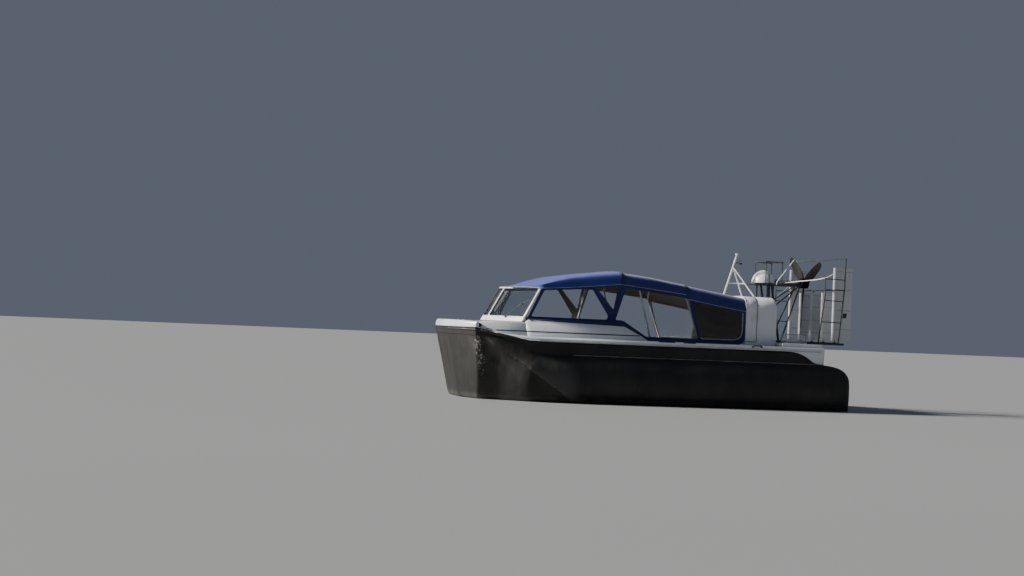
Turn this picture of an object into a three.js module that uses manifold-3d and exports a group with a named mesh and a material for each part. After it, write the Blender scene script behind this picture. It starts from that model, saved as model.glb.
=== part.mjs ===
// Light cabin hovercraft, standing level on its inflated skirt.
// Millimetres. +X is the bow, +Y is port, +Z is up. The origin is on the floor
// at the middle of the bounding box.
import * as THREE from 'three';
import Module from 'manifold-3d';

const wasm = await Module();
wasm.setup();

// Driving dimensions. Stations run from the lines' zero; SHIFT moves that zero
// to the middle of the bounding box.
const SHIFT = 35;
const GAP = 0.3; // clearance between pieces that touch on the real craft

const BOW_X = 3570;
const CORNER_X = 3235;
const KNUCKLE_X = 2365;
const STERN_X = -2950;
const BOW_HALF = 500;
const CORNER_HALF = 1210;
const HULL_HALF = 1490;
const CHINE_HALF = 1050;
const HULL_BOTTOM = 400;
const DECK_Z = 1090;
const BOW_DECK_Z = 1180;
const BAND_TOP = 1305;
const BAND_CROWN = 1320;
const BAND_RAKE = 27;
const BAND_DEPTH = 65;

const CABIN_FRONT = 2250;
const CABIN_REAR = -1560;
const CABIN_HALF = 1010;
const FLOOR_Z = 470;
const BAY_FRONT = -1660;
const BAY_REAR = -2500;
const BAY_HALF = 700;

const COAMING_IN = 1130;
const COAMING_TOP_OUT = 1200;
const COAMING_FOOT_OUT = 1390;
const SILL_HIGH = 1375;
const SILL_LOW = 1105;
const STEP_TOP_X = 635;
const STEP_FOOT_X = 190;

const BOX_FRONT = -1600;
const BOX_SEAM = -1808;
const BOX_REAR = -2200;
const BOX_HALF = 1150;
const BOX_TOP = 1940;
const BOX_WALL = 25;
const STERN_DECK_TOP = 1150;

const PROP_X = -3140;
const PROP_Z = 2250;
const PROP_RADIUS = 820;
const RUDDER_LEAD = -3275;
const RUDDER_CHORD = 365;
const RUDDER_PIVOT_X = -3345;
const RUDDER_Y = [1000, 500, 0, -500, -1000];
const RUDDER_FOOT = 1225;
const TALL_TOP = 2520;
const SHORT_TOP = 2080;

// Solids
const toSolid = (positions, triangles) => {
  const solid = new wasm.Manifold(new wasm.Mesh({
    numProp: 3,
    vertProperties: new Float32Array(positions),
    triVerts: new Uint32Array(triangles),
  }));
  return solid.volume() < 0 ? null : solid;
};

// Closed loft through rings of equal point count; each end is capped flat.
const loft = (rings) => {
  const n = rings[0].length;
  const positions = rings.flat(2);
  const triangles = [];
  for (let r = 0; r + 1 < rings.length; r += 1) {
    for (let i = 0; i < n; i += 1) {
      const a = r * n + i;
      const b = r * n + ((i + 1) % n);
      triangles.push(a, b, b + n, a, b + n, a + n);
    }
  }
  const cap = (ring, base, flip) => {
    const p = ring.map((v) => new THREE.Vector3(...v));
    const normal = new THREE.Vector3();
    for (let i = 0; i < n; i += 1) {
      normal.add(new THREE.Vector3().crossVectors(p[i], p[(i + 1) % n]));
    }
    normal.normalize();
    const u = new THREE.Vector3().subVectors(p[1], p[0]).normalize();
    const v = new THREE.Vector3().crossVectors(normal, u);
    const flat = p.map((q) => new THREE.Vector2(q.dot(u), q.dot(v)));
    for (const [a, b, c] of THREE.ShapeUtils.triangulateShape(flat, [])) {
      triangles.push(...(flip ? [base + a, base + c, base + b] : [base + a, base + b, base + c]));
    }
  };
  cap(rings[0], 0, true);
  cap(rings[rings.length - 1], (rings.length - 1) * n, false);
  let volume = 0;
  const point = (i) => new THREE.Vector3(...positions.slice(3 * i, 3 * i + 3));
  for (let t = 0; t < triangles.length; t += 3) {
    volume += point(triangles[t]).dot(
      new THREE.Vector3().crossVectors(point(triangles[t + 1]), point(triangles[t + 2])),
    );
  }
  if (volume < 0) {
    for (let t = 0; t < triangles.length; t += 3) {
      [triangles[t + 1], triangles[t + 2]] = [triangles[t + 2], triangles[t + 1]];
    }
  }
  return toSolid(positions, triangles);
};

const block = (x0, x1, y0, y1, z0, z1) => loft([x0, x1].map((x) => [
  [x, y0, z0], [x, y1, z0], [x, y1, z1], [x, y0, z1],
]));

// Prism of an outline of x, z points between two y planes.
const slabY = (outline, y0, y1) => loft([y0, y1].map((y) => outline.map(([x, z]) => [x, y, z])));

const ringAround = (centre, direction, radius, sides) => {
  const d = direction.clone().normalize();
  const help = Math.abs(d.z) < 0.9 ? new THREE.Vector3(0, 0, 1) : new THREE.Vector3(1, 0, 0);
  const u = new THREE.Vector3().crossVectors(help, d).normalize();
  const v = new THREE.Vector3().crossVectors(d, u);
  return Array.from({ length: sides }, (_, i) => {
    const a = (2 * Math.PI * (i + 0.5)) / sides;
    const p = centre.clone().addScaledVector(u, radius * Math.cos(a)).addScaledVector(v, radius * Math.sin(a));
    return [p.x, p.y, p.z];
  });
};

const rod = (from, to, radius, sides = 8) => {
  const a = new THREE.Vector3(...from);
  const b = new THREE.Vector3(...to);
  const d = new THREE.Vector3().subVectors(b, a);
  return loft([ringAround(a, d, radius, sides), ringAround(b, d, radius, sides)]);
};

const knot = (centre, radius) => {
  const rings = [-0.8, -0.3, 0.3, 0.8].map((t) => ringAround(
    new THREE.Vector3(centre[0], centre[1], centre[2] + radius * t),
    new THREE.Vector3(0, 0, 1),
    radius * Math.sqrt(1 - t * t),
    8,
  ));
  return loft(rings);
};

// Bent tube through points, as one solid with round knots at the bends.
const pipe = (points, radius, sides = 8) => {
  let solid = rod(points[0], points[1], radius, sides);
  for (let i = 1; i + 1 < points.length; i += 1) {
    solid = solid.add(knot(points[i], radius * 1.05)).add(rod(points[i], points[i + 1], radius, sides));
  }
  return solid;
};

const MERGE = 0.05; // vertices closer than this become one
const join = (solids) => solids.reduce((sum, solid) => sum.add(solid)).setTolerance(MERGE);
const mirrorRing = (half) => [...half, ...half.slice().reverse().map(([y, z]) => [-y, z])];
const mirrorY = (solid) => {
  const mesh = solid.getMesh();
  const positions = Array.from(mesh.vertProperties);
  for (let i = 1; i < positions.length; i += 3) positions[i] *= -1;
  const triangles = [];
  for (let t = 0; t < mesh.triVerts.length; t += 3) {
    triangles.push(mesh.triVerts[t], mesh.triVerts[t + 2], mesh.triVerts[t + 1]);
  }
  return toSolid(positions, triangles);
};

// Colours
const paint = {
  white: [0xe9edf0, 0.35, 0], grey: [0x9da3a8, 0.6, 0], navy: [0x141c46, 0.85, 0],
  blue: [0x2238b8, 0.8, 0], black: [0x15161a, 0.7, 0], steel: [0x8d9094, 0.4, 0.8],
  skirt: [0x1c1d20, 0.9, 0], glass: [0x20262b, 0.1, 0], seat: [0x2a2d33, 0.9, 0],
  rudder: [0x9ba0a6, 0.5, 0], engine: [0x4a4c4f, 0.5, 0.6],
};

const root = new THREE.Group();
root.name = 'hovercraft';
const group = (name, parent = root) => {
  const g = new THREE.Group();
  g.name = name;
  parent.add(g);
  return g;
};
const add = (parent, name, solid, colour) => {
  const mesh = solid.translate([SHIFT, 0, 0]).getMesh();
  const geometry = new THREE.BufferGeometry();
  geometry.setAttribute('position', new THREE.BufferAttribute(new Float32Array(mesh.vertProperties), 3));
  geometry.setIndex(new THREE.BufferAttribute(new Uint32Array(mesh.triVerts), 1));
  geometry.computeVertexNormals();
  const [color, roughness, metalness] = paint[colour];
  const item = new THREE.Mesh(geometry, new THREE.MeshStandardMaterial({ color, roughness, metalness }));
  item.name = name;
  parent.add(item);
  return item;
};
const addPair = (parent, name, solid, colour) => {
  add(parent, `${name}_port`, solid, colour);
  add(parent, `${name}_starboard`, mirrorY(solid), colour);
};

// Hull lines: x, then [half width, z] of chine, side foot, rail, deck edge; last the deck edge inset
const hullLines = [
  { x: BOW_X - 5, chine: [430, 1128], side: [BOW_HALF - 8, 1146], rail: [BOW_HALF - 5, 1165], deck: BOW_DECK_Z, inset: 0 },
  { x: CORNER_X, chine: [800, 640], side: [CORNER_HALF - 16, 1125], rail: [CORNER_HALF - 5, 1160], deck: BOW_DECK_Z, inset: 2 },
  { x: 2850, chine: [930, 440], side: [1315, 960], rail: [1335, 1078], deck: 1130, inset: 22 },
  { x: KNUCKLE_X, chine: [CHINE_HALF, HULL_BOTTOM], side: [HULL_HALF - 14, 780], rail: [HULL_HALF, 1010], deck: DECK_Z, inset: 36 },
  { x: STERN_X, chine: [CHINE_HALF, HULL_BOTTOM], side: [HULL_HALF - 14, 780], rail: [HULL_HALF, 1010], deck: DECK_Z, inset: 36 },
];
const hullBody = (grow) => loft(hullLines.map(({ x, chine, side, rail, deck, inset }, i) => {
  const end = i === 0 ? grow : i === hullLines.length - 1 ? -grow : 0;
  return mirrorRing([
    [chine[0] + grow, chine[1] - grow], [side[0] + grow, side[1] - grow / 2], [rail[0] + grow, rail[1] - grow / 2],
    [rail[0] + grow, rail[1] + (deck - rail[1]) * 0.6], [rail[0] + grow - inset, deck + grow],
  ]).map(([y, z]) => [x + end, y, z]);
}));

const hull = group('hull');
const cabinCavity = block(CABIN_REAR, CABIN_FRONT, -CABIN_HALF, CABIN_HALF, FLOOR_Z, 1400);
const engineBay = block(BAY_REAR, BAY_FRONT, -BAY_HALF, BAY_HALF, FLOOR_Z, 1400);
add(hull, 'hull_tub', hullBody(0).subtract(cabinCavity).subtract(engineBay), 'white');

const RUNNER_Y = 620;
const RUNNER_DROP = 70;
addPair(hull, 'landing_runner', slabY([
  [2100, HULL_BOTTOM - GAP], [1980, HULL_BOTTOM - RUNNER_DROP],
  [-2600, HULL_BOTTOM - RUNNER_DROP], [-2720, HULL_BOTTOM - GAP],
], RUNNER_Y - 50, RUNNER_Y + 50), 'steel');

// Rub rail along the hull side and under the bow band
const RAIL_PROUD = 26;
const railSection = (x, y, z, proud = RAIL_PROUD) => [
  [x, y, z - 2], [x, y + proud, z + 1], [x, y + proud, z + 22], [x, y, z + 27],
];
const bowRail = (y) => [[BOW_X - 6, y, 1163], [BOW_X - 1, y, 1165], [BOW_X - 1, y, 1175], [BOW_X - 6, y, 1178]];
const railHalf = loft([
  bowRail(-1), bowRail(BOW_HALF - 8),
  railSection(CORNER_X, CORNER_HALF - 6, 1152, 14),
  railSection(2850, 1335, 1071),
  railSection(KNUCKLE_X, HULL_HALF, 1012),
  railSection(STERN_X + 80, HULL_HALF, 1012),
]);
add(hull, 'rub_rail', railHalf.add(mirrorY(railHalf)).subtract(hullBody(0.4)), 'grey');

// Band across the bow, crowned in the middle
const BAND_UPRIGHT = 1262; // the face leans back above this height
const bandRing = (x, y, top) => [
  [x, y, BOW_DECK_Z + GAP], [x, y, BAND_UPRIGHT], [x - BAND_RAKE, y, top], [x - BAND_DEPTH, y, top],
  [x - BAND_DEPTH, y, BOW_DECK_Z + GAP],
];
add(hull, 'bow_band', loft([
  bandRing(CORNER_X, -CORNER_HALF, BAND_TOP), bandRing(BOW_X, -BOW_HALF, BAND_CROWN),
  bandRing(BOW_X, BOW_HALF, BAND_CROWN), bandRing(CORNER_X, CORNER_HALF, BAND_TOP),
]), 'white');

// Raised foredeck from the band to the windscreen
const foreLines = [
  [BOW_X - BAND_DEPTH - GAP, 478, BOW_DECK_Z, 440, 1317],
  [CORNER_X - BAND_DEPTH - GAP, 1180, BOW_DECK_Z, 1085, 1302],
  [2850, 1250, 1134, 1130, 1321.5],
  [KNUCKLE_X - 1.7, 1362, DECK_Z, COAMING_TOP_OUT, 1321.5],
];
add(hull, 'foredeck', loft(foreLines.map(([x, yb, zb, yt, zt]) => mirrorRing([
  [yb, zb + GAP], [yt + 14, zt - 18], [yt, zt],
]).map(([y, z]) => [x, y, z]))), 'white');

// Coaming with its step down beside the seats
const coamingRing = (x, top) => {
  const share = (top - DECK_Z) / (SILL_HIGH - DECK_Z);
  const foot = COAMING_TOP_OUT + (COAMING_FOOT_OUT - COAMING_TOP_OUT) * share;
  return [[x, foot, DECK_Z + GAP], [x, COAMING_TOP_OUT, top], [x, COAMING_IN, top], [x, COAMING_IN, DECK_Z + GAP]];
};
addPair(hull, 'coaming', loft([
  coamingRing(KNUCKLE_X - 2, 1330), coamingRing(2300, SILL_HIGH - 4), coamingRing(STEP_TOP_X, SILL_HIGH),
  coamingRing(STEP_FOOT_X, SILL_LOW), coamingRing(BOX_FRONT + GAP, SILL_LOW),
]), 'white');

// Stern deck behind the engine cover
add(hull, 'stern_deck', block(STERN_X + 10, BOX_REAR - GAP, -1400, 1400, DECK_Z + GAP, STERN_DECK_TOP), 'white');

// Windscreen: narrow centre pane and two swept side panes
const screen = group('windscreen');
const SCREEN = {
  baseZ: 1322, topZ: 1915, centreBase: [2826, 200], centreTop: [2500, 175],
  cornerBase: [2408, 1110], cornerTop: [2087, 1095],
};
const lerp = (a, b, t) => a.map((v, i) => v + (b[i] - v) * t);
const screenPoint = (side, along, up) => {
  const base = lerp(SCREEN.centreBase, SCREEN.cornerBase, along);
  const top = lerp(SCREEN.centreTop, SCREEN.cornerTop, along);
  const [x, y] = lerp(base, top, up);
  return [x, side * y, SCREEN.baseZ + (SCREEN.topZ - SCREEN.baseZ) * up];
};
const panel = (corners, thick, inset = 0) => {
  const p = corners.map((c) => new THREE.Vector3(...c));
  const centre = p.reduce((sum, v) => sum.add(v), new THREE.Vector3()).multiplyScalar(1 / p.length);
  const normal = new THREE.Vector3().crossVectors(
    new THREE.Vector3().subVectors(p[1], p[0]),
    new THREE.Vector3().subVectors(p[2], p[0]),
  ).normalize();
  const ring = (offset) => p.map((v) => {
    const toward = new THREE.Vector3().subVectors(centre, v);
    const q = v.clone().addScaledVector(toward.normalize(), inset * 1.414).addScaledVector(normal, offset);
    return [q.x, q.y, q.z];
  });
  return loft([ring(-thick / 2), ring(thick / 2)]);
};
const sidePane = (side, a0, a1, u0, u1) => [
  screenPoint(side, a0, u0), screenPoint(side, a1, u0), screenPoint(side, a1, u1), screenPoint(side, a0, u1),
];
const centrePane = (u0, u1, edge) => {
  const [x0, y0, z0] = screenPoint(1, 0, u0);
  const [x1, y1, z1] = screenPoint(1, 0, u1);
  return [[x0, y0 - edge, z0], [x0, edge - y0, z0], [x1, edge - y1, z1], [x1, y1 - edge, z1]];
};
const FRAME_THICK = 34;
const GLASS_THICK = 8;
const LOWER = 0.155;
const UPPER = 0.955;
const frameShell = (thick, top) => join([
  panel(centrePane(0.012, top, 0), thick),
  panel(sidePane(1, 0, 1, 0.012, top), thick),
  panel(sidePane(-1, 0, 1, 0.012, top), thick),
  rod(screenPoint(1, 0, 0.04), screenPoint(1, 0, 0.985), thick * 0.5),
  rod(screenPoint(-1, 0, 0.04), screenPoint(-1, 0, 0.985), thick * 0.5),
]);
const HOLE = FRAME_THICK * 3;
add(screen, 'windscreen_frame', frameShell(FRAME_THICK, 1)
  .subtract(block(1500, 3300, -1300, 1300, 1000, SCREEN.baseZ))
  .subtract(panel(centrePane(LOWER, UPPER, 22), HOLE))
  .subtract(panel(sidePane(1, 0.025, 0.962, LOWER, UPPER), HOLE))
  .subtract(panel(sidePane(-1, 0.025, 0.962, LOWER, UPPER), HOLE)), 'white');
const PANE = 0.0006; // share of the pane left round it
add(screen, 'windscreen_glass_centre', panel(centrePane(LOWER + PANE, UPPER - PANE, 22 + GAP), GLASS_THICK), 'glass');
addPair(screen, 'windscreen_glass', panel(sidePane(1, 0.025 + PANE, 0.962 - PANE, LOWER + PANE, UPPER - PANE), GLASS_THICK), 'glass');

// Canvas top in three sections: x, shoulder z, edge z, half width
const canopy = group('canopy');
const CLOTH = 14;
const EDGE_HALF = 1150;
const SEAM_1 = 664;
const SEAM_2 = -497;
const topLines = {
  canopy_front: [
    [2455, 1926, 1924, 540], [2330, 1938, 1930, 800], [2200, 1956, 1924, 1000], [2094, 1990, 1914, EDGE_HALF],
    [1852, 2076, 1929.5, EDGE_HALF], [1600, 2144, 1949.5, EDGE_HALF], [1180, 2211, 1990, EDGE_HALF], [SEAM_1, 2264, 2046, EDGE_HALF],
  ],
  canopy_middle: [
    [SEAM_1 - 1, 2246, 2040, EDGE_HALF], [100, 2190, 1982, EDGE_HALF], [SEAM_2, 2092, 1919, EDGE_HALF],
  ],
  canopy_rear: [
    [SEAM_2 - 1, 2082, 1848, EDGE_HALF], [-1050, 2000, 1754, EDGE_HALF], [BOX_FRONT + GAP, 1912, 1672, EDGE_HALF],
  ],
};
const roofHalf = (top, edge, half, inset) => {
  const side = top - edge;
  return [
    [half - inset, edge], [half - inset - side * 0.12, edge + side * 0.5], [half - inset - side * 0.32 - 12, top - side * 0.16 - inset],
    [half * 0.8 - inset, top - inset], [half * 0.4, top + 14 - inset], [0, top + 20 - inset],
  ];
};
const roofRing = ([x, top, edge, half]) => {
  const outer = roofHalf(top, edge, half, 0);
  const inner = roofHalf(top, edge, half, CLOTH);
  const left = (points) => points.slice(0, -1).map(([y, z]) => [-y, z]);
  const loop = [...outer, ...left(outer).reverse(), ...left(inner), ...inner.slice().reverse()];
  return loop.map(([y, z]) => [x, y, z]);
};

// Hoops that carry the canvas: foot x, shoulder x and z, crown x and z
const HOOP_RADIUS = 16;
const HOOP_Y = 1075;
const hoops = {
  hoop_front: [885, 676, 2030, 640, 2254],
  hoop_middle: [100, 336, 1955, 392, 2206],
  hoop_rear: [-790, -520, 1850, -470, 2070],
};
const hoopTube = ([foot, shoulderX, shoulderZ, crownX, crownZ], radius) => pipe([
  [foot, HOOP_Y, DECK_Z + 2], [shoulderX, HOOP_Y, shoulderZ], [crownX, 880, crownZ - 26], [crownX, 0, crownZ],
  [crownX, -880, crownZ - 26], [shoulderX, -HOOP_Y, shoulderZ], [foot, -HOOP_Y, DECK_Z + 2],
], radius).subtract(block(foot - 60, foot + 60, -1200, 1200, DECK_Z - 60, DECK_Z + GAP));
for (const [name, lines] of Object.entries(topLines)) {
  let shell = loft(lines.map(roofRing));
  for (const spec of Object.values(hoops)) shell = shell.subtract(hoopTube(spec, HOOP_RADIUS + 0.4));
  if (name === 'canopy_front') shell = shell.subtract(frameShell(FRAME_THICK + 2 * GAP, 1.001));
  add(canopy, name, shell, name === 'canopy_front' ? 'blue' : 'navy');
}
for (const [name, spec] of Object.entries(hoops)) add(canopy, name, hoopTube(spec, HOOP_RADIUS), 'grey');

// Side curtains with their openings
const curtainOutline = [
  [2332, SILL_HIGH + GAP], [STEP_TOP_X, SILL_HIGH + GAP], [STEP_FOOT_X, SILL_LOW + GAP], [BOX_FRONT + GAP, SILL_LOW + GAP],
  [BOX_FRONT + GAP, 1671.6], [-1050, 1753.6], [SEAM_2 - 1, 1847.6], [SEAM_2, 1918.6], [100, 1981.6], [SEAM_1 - 1, 2039.6],
  [SEAM_1, 2045.6], [1180, 1989.6], [1600, 1949.1], [1852, 1929.1], [2094, 1913.6],
];
const openings = [
  [[2262, 1425], [925, 1425], [905, 1490], [1205, 1940], [1620, 1908], [2045, 1880]],
  [[815, 1600], [770, 1850], [738, 1998], [1120, 1958]],
  [[770, 1425], [655, 1425], [215, 1160], [-715, 1160], [-560, 1690], [-530, 1850], [100, 1925], [605, 1975]],
  [[-830, 1160], [-1470, 1160], [-1545, 1235], [-1545, 1625], [-1050, 1700], [-630, 1775]],
];
let curtain = slabY(curtainOutline, 1137, 1149);
for (const outline of openings) curtain = curtain.subtract(slabY(outline, 1000, 1300));
addPair(canopy, 'side_curtain', curtain, 'navy');

// White bulkhead arch and engine cover
const power = group('power');
const boxProfile = (half, top, radius, foot) => {
  const corner = [];
  for (let i = 0; i <= 5; i += 1) {
    const a = (Math.PI / 2) * (i / 5);
    corner.push([half - radius + radius * Math.cos(a), top - radius + radius * Math.sin(a)]);
  }
  return mirrorRing([[half, foot], ...corner]);
};
const BOX_RADIUS = 230;
const boxRing = (x, shrinkBy, foot) => boxProfile(BOX_HALF - shrinkBy, BOX_TOP - shrinkBy, BOX_RADIUS, foot).map(([y, z]) => [x, y, z]);
const BOX_FOOT = DECK_Z + GAP;
add(power, 'rear_bulkhead', loft([boxRing(BOX_FRONT, 0, BOX_FOOT), boxRing(BOX_SEAM + 1, 0, BOX_FOOT)])
  .subtract(loft([
    boxRing(BOX_FRONT - 60, BOX_WALL, BOX_FOOT - 10), boxRing(BOX_SEAM - 5, BOX_WALL, BOX_FOOT - 10),
  ])), 'white');
const coverBody = loft([
  boxRing(BOX_SEAM + 0.6, 0, BOX_FOOT), boxRing(BOX_REAR + 60, 0, BOX_FOOT),
  boxRing(BOX_REAR + 22, 18, BOX_FOOT), boxRing(BOX_REAR, 70, BOX_FOOT),
]);
add(power, 'engine_cover', coverBody.subtract(loft([
  boxRing(BOX_SEAM + 8, BOX_WALL, BOX_FOOT - 10), boxRing(BOX_REAR + 70, BOX_WALL, BOX_FOOT - 10),
  boxRing(BOX_REAR + 25, 95, BOX_FOOT - 10),
])), 'white');
add(power, 'engine_block', block(-2120, -1700, -300, 300, FLOOR_Z + GAP, FLOOR_Z + 560), 'engine');

// Tripod mast
const mastTop = [-1822, 0, 2700];
const mastFork = [-1773, -41, 2490];
const MAST_RADIUS = 17;
const MAST_HEAD = 2726;
const mastFoot = [
  [-1645, -150, BOX_TOP + GAP], [-2060, 350, BOX_TOP + GAP], [-2095, -350, BOX_TOP + GAP],
];
add(power, 'mast', join([
  ...mastFoot.map((foot, i) => rod(foot, i === 0 ? mastTop : mastFork, i === 0 ? MAST_RADIUS : MAST_RADIUS - 2.5)),
  knot(mastFork, MAST_RADIUS * 1.25),
  ...mastFoot.map((foot) => rod(foot, [foot[0], foot[1], foot[2] + 8], 42)),
  knot(mastTop, MAST_RADIUS * 1.3), rod([mastTop[0], 0, mastTop[2] + 6], [mastTop[0], 0, MAST_HEAD], 30, 12),
  rod([-1703, -101, 2190], [-1936, 0, 2192], 9), rod([-1931, 180, 2187], [-1952, -211, 2187], 9.6),
]).subtract(block(-2300, -1500, -600, 600, BOX_TOP - 100, BOX_TOP + GAP)), 'white');

// Tower that carries the shaft, with its guard rack, and the pod on its tray
const TUBE = 16;
const TOWER_Z = 2195;
const TOWER_HALF = 260;
const RACK_Z = 2598;
const RACK_FRONT = -2282;
const RACK_REAR = -2612;
const deckTop = STERN_DECK_TOP + GAP;
const towerFront = -2100;
const towerPost = -2330;
const towerBend = -2640;
const towerRear = -3030;
const BEARING_RADIUS = 38;
const bearingFoot = PROP_Z - BEARING_RADIUS * Math.cos(Math.PI / 16);
const frame = [];
for (const side of [1, -1]) {
  const y = side * TOWER_HALF;
  frame.push(
    rod([towerFront, y, TOWER_Z], [towerBend, y, TOWER_Z], TUBE),
    knot([towerBend, y, TOWER_Z + 0.4], TUBE * 1.3),
    rod([towerBend, y, TOWER_Z], [towerRear, y * 0.45, TOWER_Z], TUBE - 0.7),
    rod([towerPost, y, deckTop - 5], [towerPost, y, TOWER_Z], TUBE - 1.5),
    rod([-2587, y, deckTop - 5], [-2405, y, TOWER_Z], TUBE + 5),
    rod([-2612, y, deckTop - 5], [towerRear + 12, y * 0.45, TOWER_Z], TUBE - 2.3),
    rod([-2472, y, 1800], [towerRear + 30, y * 0.45, TOWER_Z - 3], TUBE - 4),
    rod([-2600, y, deckTop - 5], [-2600, y, deckTop + 10], 52),
    rod([towerPost, y, deckTop - 5], [towerPost, y, deckTop + 9], 24),
    rod([RACK_FRONT, y, RACK_Z], [RACK_REAR, y, RACK_Z], 10),
    rod([RACK_FRONT - 8, y, TOWER_Z], [RACK_FRONT - 8, y, RACK_Z], 8.7),
    rod([RACK_REAR + 10, y, TOWER_Z], [RACK_REAR + 10, y, RACK_Z], 8.7),
    knot([RACK_FRONT, y, RACK_Z + 0.3], 13), knot([RACK_REAR, y, RACK_Z + 0.3], 13),
  );
}
for (const [x, half, z, radius] of [
  [towerFront + 3, TOWER_HALF + 18, TOWER_Z + 1.3, TUBE - 1.7], [-2230, TOWER_HALF, TOWER_Z + 1.2, TUBE - 2.6],
  [-2408, TOWER_HALF, TOWER_Z + 0.7, TUBE - 2.3], [-2600, TOWER_HALF, TOWER_Z - 3.1, TUBE - 2.9],
  [towerRear + 20, TOWER_HALF * 0.45 + 12, TOWER_Z - 3.9, TUBE - 2.1], [-2478, TOWER_HALF, 1780, TUBE - 1.3],
  [RACK_FRONT, TOWER_HALF, RACK_Z + 1, 9.1], [RACK_REAR, TOWER_HALF, RACK_Z + 1, 9.1],
]) frame.push(rod([x, half, z], [x, -half, z], radius));
for (const x of [-2600, towerRear + 20]) frame.push(block(x - 22, x + 22, -55, 55, TOWER_Z - 4, bearingFoot - GAP));
add(power, 'tower', join(frame).subtract(block(-2800, -2100, -500, 500, DECK_Z, deckTop)), 'black');
const POD_X = -2346;
const POD_BASE = TOWER_Z + 1.2 + (TUBE - 2.6) * Math.cos(Math.PI / 8) + GAP;
const podRings = [
  [0, 1], [60, 0.97], [140, 0.84], [205, 0.58], [240, 0.26],
].map(([rise, scale]) => Array.from({ length: 16 }, (_, i) => {
  const a = (2 * Math.PI * (i + 0.5)) / 16;
  return [POD_X + 210 * scale * Math.cos(a), 222 * scale * Math.sin(a), POD_BASE + rise];
}));
add(power, 'pod', loft(podRings), 'white');

// Shaft bearing and propeller
const HUB = 70;
add(power, 'shaft_bearing', rod([-2575, 0, PROP_Z], [PROP_X + HUB + GAP, 0, PROP_Z], BEARING_RADIUS, 16), 'steel');
const blade = (angle) => {
  const stations = [[50, 90, 34, 42], [220, 150, 26, 34], [450, 165, 18, 24], [700, 140, 12, 17], [PROP_RADIUS, 80, 7, 12]];
  const rings = stations.map(([r, chord, thick, pitch]) => {
    const p = THREE.MathUtils.degToRad(pitch);
    const corners = [[-0.5, 0], [-0.2, 0.5], [0.2, 0.42], [0.5, 0.05], [0.2, -0.4], [-0.2, -0.5]];
    return corners.map(([c, t]) => {
      const along = c * chord * Math.cos(p) - t * thick * Math.sin(p);
      const across = c * chord * Math.sin(p) + t * thick * Math.cos(p);
      const y = r * Math.cos(angle) - along * Math.sin(angle);
      const z = r * Math.sin(angle) + along * Math.cos(angle);
      return [PROP_X + across, y, PROP_Z + z];
    });
  });
  return loft(rings);
};
const FIRST_BLADE = THREE.MathUtils.degToRad(25);
add(power, 'propeller', join([
  ...[0, 1, 2].map((i) => blade(FIRST_BLADE + (i * 2 * Math.PI) / 3)),
  rod([PROP_X - HUB, 0, PROP_Z], [PROP_X + HUB, 0, PROP_Z], 95, 16),
]), 'black');

// Rudders and the cage that carries them
const steering = group('steering');
const CAGE_HALF = 1150;
const BASE_Z = 1183;
const UPPER_Z = 2122;
const PAD = 14;
const cage = [];
for (const y of [CAGE_HALF, -CAGE_HALF]) {
  cage.push(
    rod([-2971, y, BASE_Z], [-3066, y, 2050], 13), rod([-3066, y, 2040], [-3060, y, 2330], 9),
    rod([-3346, y, BASE_Z], [-3428, y, 2170], 13.6), rod([-3428, y, 2150], [-3434, y, 2690], 12.5),
    rod([-3010, y, 1552], [-3378, y, 1548], 9), rod([-3052, y, 1935], [-3410, y, 1925], 9),
    rod([-3058, y, UPPER_Z], [-3424, y, UPPER_Z], 9.6), rod([-3060, y, 2316], [-3431, y, 2306], 8.4),
    rod([-2760, y, deckTop + 18.5], [-3450, y, deckTop + 18.5], 20),
  );
}
cage.push(
  rod([-3434, CAGE_HALF + 8, 2684], [-3434, -CAGE_HALF - 8, 2684], 11.4),
  rod([RUDDER_PIVOT_X, CAGE_HALF, BASE_Z - 1], [RUDDER_PIVOT_X, -CAGE_HALF, BASE_Z - 1], 15),
  rod([-3240, CAGE_HALF, UPPER_Z + 0.8], [-3240, -CAGE_HALF, UPPER_Z + 0.8], 11),
);
for (const y of RUDDER_Y) {
  cage.push(rod([RUDDER_PIVOT_X, y, BASE_Z], [RUDDER_PIVOT_X, y, BASE_Z + 22], PAD + 12, 12));
  const top = Math.abs(y) === RUDDER_Y[0] ? TALL_TOP : SHORT_TOP;
  if (top < UPPER_Z) {
    cage.push(
      rod([-3236, y, UPPER_Z + 1.5], [RUDDER_PIVOT_X, y, UPPER_Z + 1.5], 8.2),
      rod([RUDDER_PIVOT_X, y, UPPER_Z - 12], [RUDDER_PIVOT_X, y, UPPER_Z + 12], PAD + 6, 12),
    );
  }
}
add(steering, 'rudder_cage', join(cage), 'black');
RUDDER_Y.forEach((y, i) => {
  const top = i === 0 || i === RUDDER_Y.length - 1 ? TALL_TOP : SHORT_TOP;
  const section = [
    [0, 0], [-12, 14], [-70, 22], [-200, 15], [-RUDDER_CHORD, 2], [-RUDDER_CHORD, -2], [-200, -15], [-70, -22], [-12, -14],
  ];
  const blade = loft([RUDDER_FOOT, top].map((z) => section.map(([dx, dy]) => [RUDDER_LEAD + dx, y + dy, z])));
  const pins = [rod([RUDDER_PIVOT_X, y, BASE_Z + 22 + GAP], [RUDDER_PIVOT_X, y, RUDDER_FOOT + 20], PAD, 12)];
  if (top < UPPER_Z) pins.push(rod([RUDDER_PIVOT_X, y, top - 20], [RUDDER_PIVOT_X, y, UPPER_Z - 12 - GAP], PAD, 12));
  add(steering, `rudder_${i + 1}`, join([blade, ...pins]), 'rudder');
});

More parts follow.
